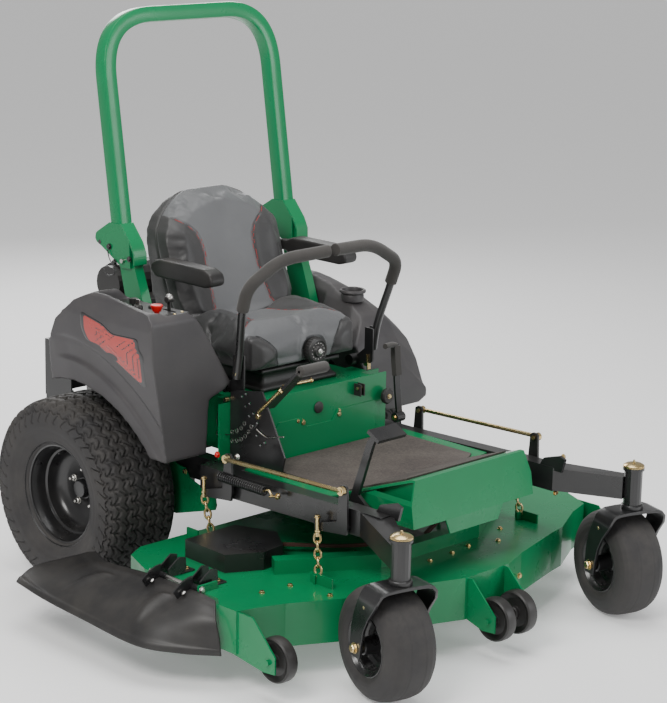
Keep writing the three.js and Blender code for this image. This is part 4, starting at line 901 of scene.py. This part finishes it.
def cushion_dark(c):
    x, y, z = np.abs(c[:, 0]), c[:, 1], c[:, 2]
    side = (x > 226) & (y > -440)
    return side | ((y < -425) & (x > PILLOW_EDGE(z)) & (z < 830)) | ((y >
                                                                      -402) & (x > TOP_SEAM(y))) | (z < 722)


def hold_cushion(p):
    pocket = np.hypot(p[:, 0] - DIAL[0], p[:, 2] - DIAL[1])
    free = smooth_step(pocket, 52, 72) + (p[:, 1] > -440)
    return np.clip(free, 0, 1) * smooth_step(p[:, 2], 716, 745) * (1 - 0.75 * smooth_step(p[:, 1], -200,
                                                                                          -165))


def hold_back(p):
    side = 1 - 0.8 * smooth_step(np.abs(p[:, 0]), 215, 245)
    return side * smooth_step(p[:, 2], 716, 790) * (1 - 0.95 * smooth_step(p[:, 1], -10, 30))


cushion = padded_piece("seat_cushion_cover", "seat_cushion", 22, hold_cushion, cushion_form, cushion_dark)
back = padded_piece("seat_back_cover", "seat_back", 22, hold_back, back_form, back_dark)


def skin_tree(piece):
    mesh = piece.data
    return BVHTree.FromPolygons([v.co.copy() for v in mesh.vertices],
                                [tuple(f.vertices) for f in mesh.polygons])


def stitched(tree, spots, direction, rows, thread, dash=4.5, gap=2.0, ink=0, into=None):
    """Rows of thread laid on a skin along a line of places, found by casting from a distance."""
    hits = []
    for spot in spots:
        start = Vector(spot) - Vector(direction) * 200
        place, normal = on_surface(tree, start, direction)
        if place is not None:
            hits.append((Vector(local(place)), normal))
    fine = [hits[0]]
    for before, after in zip(hits, hits[1:]):
        span = (after[0] - before[0]).length
        for k in range(1, max(int(span / 1.6), 1) + 1):
            t = k / max(int(span / 1.6), 1)
            fine.append((before[0].lerp(after[0], t), before[1].lerp(after[1], t).normalized()))
    length = [0.0]
    for before, after in zip(fine, fine[1:]):
        length.append(length[-1] + (after[0] - before[0]).length)
    for offset in rows:
        begin = 0.0
        while begin + dash < length[-1]:
            path = []
            for share, lift in ((0, -0.4), (0.25, 0.7), (0.75, 0.7), (1, -0.4)):
                mark = begin + dash * share
                index = min(max(int(np.searchsorted(length, mark)) - 1, 0), len(fine) - 2)
                place, normal = fine[index]
                along = (fine[index + 1][0] - place).normalized()
                path.append(place + normal.cross(along) * offset + normal * (thread * lift))
            into.tube(path, thread, 6, ink)
            begin += dash + gap


back_tree, cushion_tree = skin_tree(back), skin_tree(cushion)
seams = Shape()
for side in (-1, 1):
    heights = [z for z in np.arange(848, 1158, 8) if BACK_SEAM(z) < 228]
    stitched(back_tree, [(side * float(BACK_SEAM(z)), float(BACK_FACE(z)), float(z)) for z in heights],
             (0, 1, 0), (-4.2, 4.2), 1.5, into=seams)
    depths = [y for y in np.arange(-176, -402, -6) if TOP_SEAM(y) < 240]
    stitched(cushion_tree, [(side * float(TOP_SEAM(y)), float(y), 840) for y in depths], (0, 0, -1),
             (-3.6, 3.6), 1.3, into=seams)
    levels = [z for z in np.arange(724, 832, 6) if PILLOW_EDGE(z) < 205]
    stitched(cushion_tree, [(side * float(PILLOW_EDGE(z)) - side * 5, -478, float(z)) for z in levels],
             (0, 1, 0), (0,), 1.1, ink=1, into=seams)
seams.made("seat_stitching", "seat", stitch_red, stitch_black, smooth=60, in_slot="seat_vinyl")

dial = Shape()
dial.turned([(0, 0), (39, 0), (42, 4), (42, 21), (39, 26), (33, 28), (31, 25), (20, 25), (18, 29), (16, 33),
             (0, 34)], (DIAL[0], -455, DIAL[1]), (0, -1, 0), 48)
for k in range(28):
    a = 2 * math.pi * k / 28
    x, z = DIAL[0] + 41.6 * math.cos(a), DIAL[1] + 41.6 * math.sin(a)
    dial.tube([(x, -458, z), (x, -477, z)], 2.2, 6)
for k in range(14):
    a = 2 * math.pi * (k + 0.5) / 14
    x, z = DIAL[0] + 25.5 * math.cos(a), DIAL[1] + 25.5 * math.sin(a)
    dial.turned([(0, -1), (1.9, -1), (1.9, 0.8), (0, 1)], (x, -480.4, z), (0, -1, 0), 8, ink=1)
dial.turned([(0, -1), (9.5, -1), (9.5, 3), (7.5, 4.2), (0, 4.4)], (DIAL[0], -488.8, DIAL[1]), (0, -1, 0), 24,
            ink=1)
dial.bolt((DIAL[0], -492.5, DIAL[1]), (0, -1, 0), 5, ink=1, washer=False)
dial.made("seat_weight_knob", "seat_dial", black_moulding, bright_zinc, stands_for=["seat_knob"], bevel=0.7,
          smooth=40, in_slot="black_plastic")


# ---- Roll bar ----
def roll_hoop():
    """The bent square tube with the folded sleeves that take it down to its pivots."""
    def lean(z):
        return 17 + (z - 1134) * math.tan(math.radians(9))
    hoop = Shape()
    mid, top = 348, 1762
    corner = [(u * 25, w * 25) for u, w in ((-1, -0.72), (-0.92, -0.92), (-0.72, -1), (0.72, -1),
                                            (0.92, -0.92), (1, -0.72), (1, 0.72), (0.92, 0.92), (0.72, 1),
                                            (-0.72, 1), (-0.92, 0.92), (-1, 0.72))]
    hoop.sweep(rounded([(-mid, lean(1080), 1080), (-mid, lean(top), top), (mid, lean(top), top),
                        (mid, lean(1080), 1080)], 190, 28), corner, up=(0, 1, 0))
    cheek = [(-57, 1000), (-17, 998), (83, 1052), (108, 1063), (115, 1074), (112, 1090), (104, 1097),
             (43, 1134), (-9, 1134), (-53, 1082)]
    web = [(-11, 1135), (-4, 1135), (-52, 1078), (-70, 1046), (-71, 1012), (-77, 1012), (-76, 1046),
           (-59, 1080)]
    for side in (-1, 1):
        for low, high in ((367, 375), (321, 329)):
            hoop.plate(cheek, "x", *sorted((side * low, side * high)))
        hoop.plate(web, "x", *sorted((side * 323, side * 374)))
        hoop.turned([(0, 0), (7, 0), (7, 1.4), (0, 1.4)], (side * 375, 92, 1064), (side, 0, 0), 18, ink=1)
    hoop.made("roll_hoop_tube", "roll_hoop", green_paint, accent_black, stands_for=["rops_hoop"], bevel=1.6,
              smooth=34, in_slot="green_paint")


roll_hoop()
pins = Shape()
for _, side in SIDES:
    x = side * 352
    for y, z, size in ((43, 1056, 9), (17, 1010, 9), (-55, 1031, 8)):
        pins.bolt((x + side * 24, y, z), (side, 0, 0), size, ink=0)
    pins.tube([(x + side * 8, -27, 1022), (x + side * 34, -27, 1022)], 7, 14, ink=1)
    pins.tube(rounded([(x + side * 29, 47, 1046), (x + side * 30, 36, 1016), (x + side * 30, 11, 998),
                       (x + side * 30, 8, 974), (x + side * 30, 47, 962), (x + side * 30, 66, 988)], 16, 4),
              1.8, 8, ink=0)
pins.made("roll_bar_pins", "chassis", black_paint, bright_zinc, bevel=0.5, smooth=45, in_slot="zinc")


# ---- Seat box, height plate and brake fittings ----
fittings = Shape()
for x, z, size in ((49, 563, 9), (-106, 563, 9), (-128, 572, 7), (52, 574, 6)):
    fittings.bolt((x, -561, z), (0, -1, 0), size)
fittings.turned([(0, -1), (17, -1), (19, 1), (18, 4), (12, 6), (0, 6)], (-39, -561, 600), (0, -1, 0), 30,
                ink=1)
fittings.turned([(0, 0), (7, 0), (7, 12), (24, 14), (26, 18), (26, 26), (22, 30), (0, 31)], (246, -561, 591),
                (0, -1, 0), 10, ink=1)
fittings.bolt((246, -591, 591), (0, -1, 0), 7)
fittings.block((117, -590, 612), (121, -560, 650), ink=1)
fittings.block((133, -590, 612), (137, -560, 650), ink=1)
fittings.tube([(112, -578, 636), (142, -578, 636)], 5, 12)
fittings.made("seat_box_fittings", "chassis", yellow_zinc, black_moulding, bevel=0.6, smooth=45,
              in_slot="zinc")

plate = Shape()
face = -305.5
SLOTS_Y, SLOTS_Z = HANDLE_PIVOT_Y + 130, HANDLE_PIVOT_Z + 10
for ring_radius, first, last, count in ((112, 205, 296, 9), (84, 212, 290, 6)):
    for k in range(count):
        a = math.radians(first + (last - first) * k / (count - 1))
        y, z = SLOTS_Y + ring_radius * math.cos(a), SLOTS_Z + ring_radius * math.sin(a)
        plate.turned([(4.2, -0.4), (7.4, -0.4), (7.4, 1.0), (4.2, 1.0), (4.2, -0.4)], (face, y, z),
                     (-1, 0, 0), 16, ink=1)
plate.tube(rounded([(-306, -577, 635), (-306, -600, 656), (-306, -672, 720)], 10), 6, 14)
plate.tube([(-300, -672, 724), (-312, -672, 716)], 8, 12)
hairpin = rounded([(-309, -571, 581), (-309, -587, 573), (-309, -620, 562), (-309, -658, 576),
                   (-309, -690, 582)], 18, 5)
plate.tube(hairpin, 2.4, 8, ink=1)
lanyard = rounded([(-320, -441, 648), (-320, -408, 604), (-320, -403, 566), (-320, -422, 542),
                   (-320, -449, 539), (-320, -502, 552), (-320, -548, 569), (-318, -574, 588),
                   (-308, -577, 600)], 22, 5)
plate.tube(lanyard, 1.7, 8, ink=2)
plate.turned([(0, -2), (7, -2), (7, 12), (0, 12)], (-309, -441, 648), (-1, 0, 0), 16)
for y, z, ink in ((-498, 503, 3), (-548, 503, 1), (-587, 516, 1)):
    plate.bolt((-400, y, z), (-1, 0, 0), 9, ink=ink)
plate.hardware("height_plate_hardware", "chassis", yellow_zinc, bright_zinc, black_paint, red_moulding)

crosspin = Shape()
crosspin.tube([(-275, -650, 725), (-158, -650, 723)], 5, 12)
crosspin.turned([(0, -2), (8, -2), (8, 2), (0, 2)], (-160, -650, 723), (1, 0, 0), 14)
crosspin.bolt((-301, HANDLE_PIVOT_Y, HANDLE_PIVOT_Z), (-1, 0, 0), 11)
crosspin.hardware("height_handle_pin", "height_handle", yellow_zinc)

link = Shape()
link.sweep([(276, -464, 700), (276, -468, 652)], strip(5, 14), up=(1, 0, 0))
for y, z in ((-448, 690), (-449, 666)):
    link.bolt((279, y, z), (1, 0, 0), 7)
link.hardware("steering_link", "steering_left", yellow_zinc)


# ---- Control panel ----
keep(black_moulding, "control_panel", "choke_knob", "throttle_lever", bevel=1.0)
panel = Shape()
for x, y in ((-581, -214), (-579, -330), (-560, -408), (-502, -418), (-466, -410)):
    panel.round_head((x, y, PANEL_TOP_Z), (0, 0, 1), 5.5)
panel.turned([(0, -1), (15, -1), (15, 9), (12, 14), (0, 14)], (-545, -300, PANEL_TOP_Z), (0, 0, 1), 24, ink=1)
panel.block((-547.5, -309, 951), (-542.5, -291, 969), ink=2)
panel.turned([(0, -1), (12, -1), (12, 6), (9, 8), (0, 8)], (-500, -312, PANEL_TOP_Z), (0, 0, 1), 24, ink=1)
panel.made("panel_fittings", "chassis", yellow_zinc, black_moulding, bright_zinc, bevel=0.5, smooth=45,
           in_slot="black_plastic")
knob = Shape()
knob.turned([(0, -2), (8, -2), (8, 6), (13, 8), (15, 14), (18.5, 22), (19, 25), (17, 27.5), (0, 28.5)],
            (-539, -380, PANEL_TOP_Z), (0, 0, 1), 28)
knob.made("blade_switch_knob", "blade_switch", red_moulding, stands_for=["pto_knob"], bevel=0.5, smooth=45,
          in_slot="red_plastic")
tip = Shape()
tip.turned([(0, -10), (8, -9), (11, -3), (11, 3), (8, 9), (0, 11)], (-484, -372, 978), (0, 0, 1), 22)
tip.made("throttle_tip", "throttle", bright_zinc, smooth=60, in_slot="zinc")


# ---- Fender panel and cup holder ----
def accent_panel():
    """A red panel on the right fender, with a black border and streaks, and no lettering."""
    tree = skin_tree(fenders["right"])
    front_top = [(-115, 913), (-217, 894)]
    outline = front_top + [(-268, 869), (-387, 873), (-389, 842), (-409, 822), (-403, 725), (-386, 725),
                           (-193, 822), (-141, 826), (-117, 861)] + front_top
    edge = [(p.y, p.z) for p in rounded([(0, y, z) for y, z in outline], 14, 4)[1:-1]]
    middle_y, middle_z = -262, 835
    rings, border, count = 34, 4, len(edge)
    shape = Shape()
    for i in range(rings + 1):
        share = i / rings
        for y, z in edge:
            spot = (-760, middle_y + (y - middle_y) * share, middle_z + (z - middle_z) * share)
            hit, normal = on_surface(tree, spot, (1, 0, 0))
            if hit is None:
                hit, normal = at(-600, *spot[1:]), Vector((-1, 0, 0))
            shape.corners.append(tuple(Vector(local(hit)) + normal * (0.2 if i == rings else 1.3)))
    for i in range(rings):
        for k in range(count):
            onward = (k + 1) % count
            shape.faces.append((i * count + k, i * count + onward, (i + 1) * count + onward,
                                (i + 1) * count + k))
            y, z = shape.corners[i * count + k][1:]
            streak = i > 5 and y < -190 and ((z - middle_z) + 0.62 * (y - middle_y)) / 19 % 1 < 0.16
            shape.inks.append(1 if i >= rings - border or streak else 0)
    shape.made("fender_panel", "chassis", accent_red, accent_black, smooth=60, in_slot="charcoal_plastic")


accent_panel()
cup = Shape()
cup.turned([(34, 0), (40, 0), (44, 3), (44, 9), (41, 12), (36, 11), (33, 6), (33, -20), (0, -22), (0, -26),
            (36, -26), (38, -8), (34, 0)], (404, -262, 852), (0, 0, 1), 40)
cup.made("cup_holder", "chassis", fender_moulding, smooth=45, in_slot="charcoal_plastic")


# ---- Deck fittings ----
deck_bolts = Shape()
for x, y in ((-127, -1207), (-32, -1212), (80, -1207), (183, -1205), (425, -1124)):
    deck_bolts.bolt((x, y - 4, 170), (0.1 * (x > 300), -1, 0), 8)
for x, y in ((-61, -1067), (42, -1062), (127, -1050), (324, -1006), (232, -1079), (-176, -869), (-521, -949),
             (-621, -938), (-494, -1084)):
    deck_bolts.bolt((x, y, 236.5), (0, 0, 1), 8)
deck_bolts.hardware("deck_bolts", "deck", yellow_zinc)


def chain_shape(start, end, links):
    """A chain of welded links hung from start to end, each link a quarter turn from the last."""
    a, b = Vector(start), Vector(end)
    along = (b - a).normalized()
    side = along.orthogonal().normalized()
    lift = along.cross(side)
    step = (b - a).length / links
    shape = Shape()
    for i in range(links):
        centre = a + along * step * (i + 0.5)
        flat, other = (side, lift) if i % 2 else (lift, side)
        path = []
        for k in range(16):
            t = 2 * math.pi * k / 16
            path.append(tuple(centre + along * (step * 0.68 * math.cos(t)) + flat * (9.5 * math.sin(t))))
        shape.sweep(path, ring(3.6, 8), closed=True, up=tuple(other))
    return shape


for name, side in SIDES:
    for place, (x, *low), (top_x, *high) in ((p, CHAIN_LUGS[p], CHAIN_TOPS[p]) for p in CHAIN_LUGS):
        chain = chain_shape((side * x, *low), (side * top_x, *high), 5)
        chain.made(f"{place}_chain_{name}", "deck", yellow_zinc, smooth=60, in_slot="zinc")
    lugs = Shape()
    for x, y, hook_z in CHAIN_LUGS.values():
        lugs.sweep([(side * x, y, 234), (side * x, y, hook_z)], strip(8, 34), up=(1, 0, 0))
        lugs.bolt((side * (x + 4), y, 256), (side, 0, 0), 8, ink=1)
    lugs.made(f"chain_lugs_{name}", "deck", green_paint, yellow_zinc, bevel=0.8, smooth=45,
              in_slot="green_paint")
    tops = Shape()
    for x, y, _ in CHAIN_TOPS.values():
        tops.tube([(side * x, y, 366), (side * x, y, 424)], 6, 14)
        tops.bolt((side * x, y, 424), (0, 0, 1), 9)
        tops.bolt((side * x, y, 386), (0, 0, -1), 9, washer=False)
    tops.hardware(f"chain_adjusters_{name}", "deck", yellow_zinc)

spring = Shape()
SPRING_TURNS, SPRING_STEPS, SPRING_RADIUS = 22, 12, 12
coil = []
for k in range(SPRING_TURNS * SPRING_STEPS + 1):
    t = k / (SPRING_TURNS * SPRING_STEPS)
    a = 2 * math.pi * SPRING_TURNS * t
    coil.append((-425 + SPRING_RADIUS * math.cos(a), -535 - 200 * t, 448 + SPRING_RADIUS * math.sin(a)))
spring.tube(coil, 2.6, 8)
spring.tube(rounded([(-425, -730, 448), (-425, -752, 458), (-425, -768, 440), (-425, -752, 436),
                     (-425, -790, 446)], 10, 4), 3.6, 10, ink=1)
spring.bolt((-425, -790, 446), (0, -1, 0), 9, ink=1)
spring.made("assist_spring", "chassis", black_paint, yellow_zinc, smooth=60, in_slot="black_paint")

belt = Shape()
loop = rounded([(-440, -610, 262), (-210, -860, 262), (0, -968, 262), (210, -860, 262), (440, -610, 262)], 60,
               8)
belt.sweep(loop, strip(13, 9))
belt.made("drive_belt", "deck", belt_rubber, bevel=1.0, smooth=50, in_slot="black_plastic")

guard = Shape()
guard.plate([(-165, 452), (-165, 250), (-258, 250), (-440, 304), (-446, 320), (-441, 345), (-320, 380),
             (-300, 408), (-262, 412)], "x", -357, -352.5)
for y, z in ((-240, 425), (-300, 396)):
    guard.bolt((-357, y, z), (-1, 0, 0), 8, ink=1)
guard.made("side_guard_plate", "chassis", green_paint, yellow_zinc, bevel=1.0, smooth=45,
           in_slot="green_paint")

arms = Shape()
for x, y, z, axis in ((380, -1171, 477, (0, 0, 1)), (380, -1197, 500, (0, -1, 0)),
                      (380, -1174, 383, (0, -1, 0))):
    arms.bolt((x, y, z), axis, 9)
arms.hardware("front_arm_bolts", "chassis", yellow_zinc)

for name, x, y in (("nose_right", -47, -1320), ("nose_left", 47, -1320), ("corner_right", -735, -1126),
                   ("corner_left", 722, -1118)):
    roller = Shape()
    half = [(0, 24.5), (17, 24.5), (20, 22), (21, 12), (44, 9), (56, 16), (60, 20), (64.5, 16), (65.8, 8)]
    roller.turned(half + [(r, -d) for r, d in reversed(half)], (x, y, ROLLER_Z), (1, 0, 0), 48)
    for end in (-1, 1):
        roller.bolt((x + end * 24.5, y, ROLLER_Z), (end, 0, 0), 10, ink=1)
    where, side = name.split("_")
    roller.made(f"scalp_roller_{name}", f"{where}_roller_{side}", black_moulding, yellow_zinc,
                stands_for=[f"roller_{name}"], bevel=1.0, smooth=45, in_slot="black_plastic")


# ---- Floor, light and camera ----
def floor_material():
    material = bpy.data.materials.new("studio_floor")
    material.use_nodes = True
    shader = material.node_tree.nodes["Principled BSDF"]
    shader.inputs["Base Color"].default_value = (0.93, 0.93, 0.93, 1)
    shader.inputs["Roughness"].default_value = 0.7
    shader.inputs["Emission Color"].default_value = (1.0, 1.0, 1.0, 1)
    shader.inputs["Emission Strength"].default_value = 0.22
    return material


ground = bpy.data.meshes.new("studio_ground")
reach = 60000
ground.from_pydata([at(-reach, -reach, -1), at(reach, -reach, -1), at(reach, reach, -1),
                    at(-reach, reach, -1)], [], [(0, 1, 2, 3)])
ground.materials.append(floor_material())
studio = bpy.data.objects.new("studio_ground", ground)
bpy.context.scene.collection.objects.link(studio)


def area_light(name, spot, target, size, power, color=(1, 1, 1)):
    data = bpy.data.lights.new(name, "AREA")
    data.shape = "RECTANGLE"
    data.size, data.size_y = size
    data.energy = power
    data.color = color
    lamp = bpy.data.objects.new(name, data)
    bpy.context.scene.collection.objects.link(lamp)
    lamp.location = at(*spot)
    lamp.rotation_euler = (at(*target) - lamp.location).to_track_quat("-Z", "Y").to_euler()


area_light("key", (-3600, -1800, 3800), (-100, -600, 500), (2.0, 1.6), 150, (1.0, 0.985, 0.96))
area_light("fill", (2600, -5200, 2300), (200, -700, 500), (2.6, 2.0), 95, (0.97, 0.985, 1.0))
area_light("top", (0, -500, 4800), (0, -500, 0), (3.2, 3.2), 130)
area_light("rim", (2200, 3600, 2900), (0, 0, 900), (2.4, 2.0), 110)
world = bpy.data.worlds.new("studio_world")
bpy.context.scene.world = world
world.use_nodes = True
world.node_tree.nodes["Background"].inputs["Color"].default_value = (1.0, 1.0, 1.0, 1)
world.node_tree.nodes["Background"].inputs["Strength"].default_value = 0.42

AZIMUTH, ELEVATION, ROLL = (math.radians(v) for v in (-44.71, 13.65, 1.07))
back_way = Vector((math.sin(AZIMUTH) * math.cos(ELEVATION), -math.cos(AZIMUTH) * math.cos(ELEVATION),
                   math.sin(ELEVATION)))
right_way = (-back_way).cross(Vector((0, 0, 1))).normalized()
up_way = right_way.cross(-back_way)
view_right = right_way * math.cos(ROLL) + up_way * math.sin(ROLL)
view_up = up_way * math.cos(ROLL) - right_way * math.sin(ROLL)
camera_data = bpy.data.cameras.new("camera")
camera_data.sensor_width = 36
camera_data.lens = 111.57
camera_data.shift_x = 0.01004
camera_data.shift_y = -0.00347
camera_data.clip_end = 120
camera = bpy.data.objects.new("camera", camera_data)
bpy.context.scene.collection.objects.link(camera)
basis = Matrix((view_right, view_up, back_way)).transposed().to_4x4()
camera.matrix_world = Matrix.Translation(at(-4605, -5204, 2367)) @ basis
bpy.context.scene.camera = camera
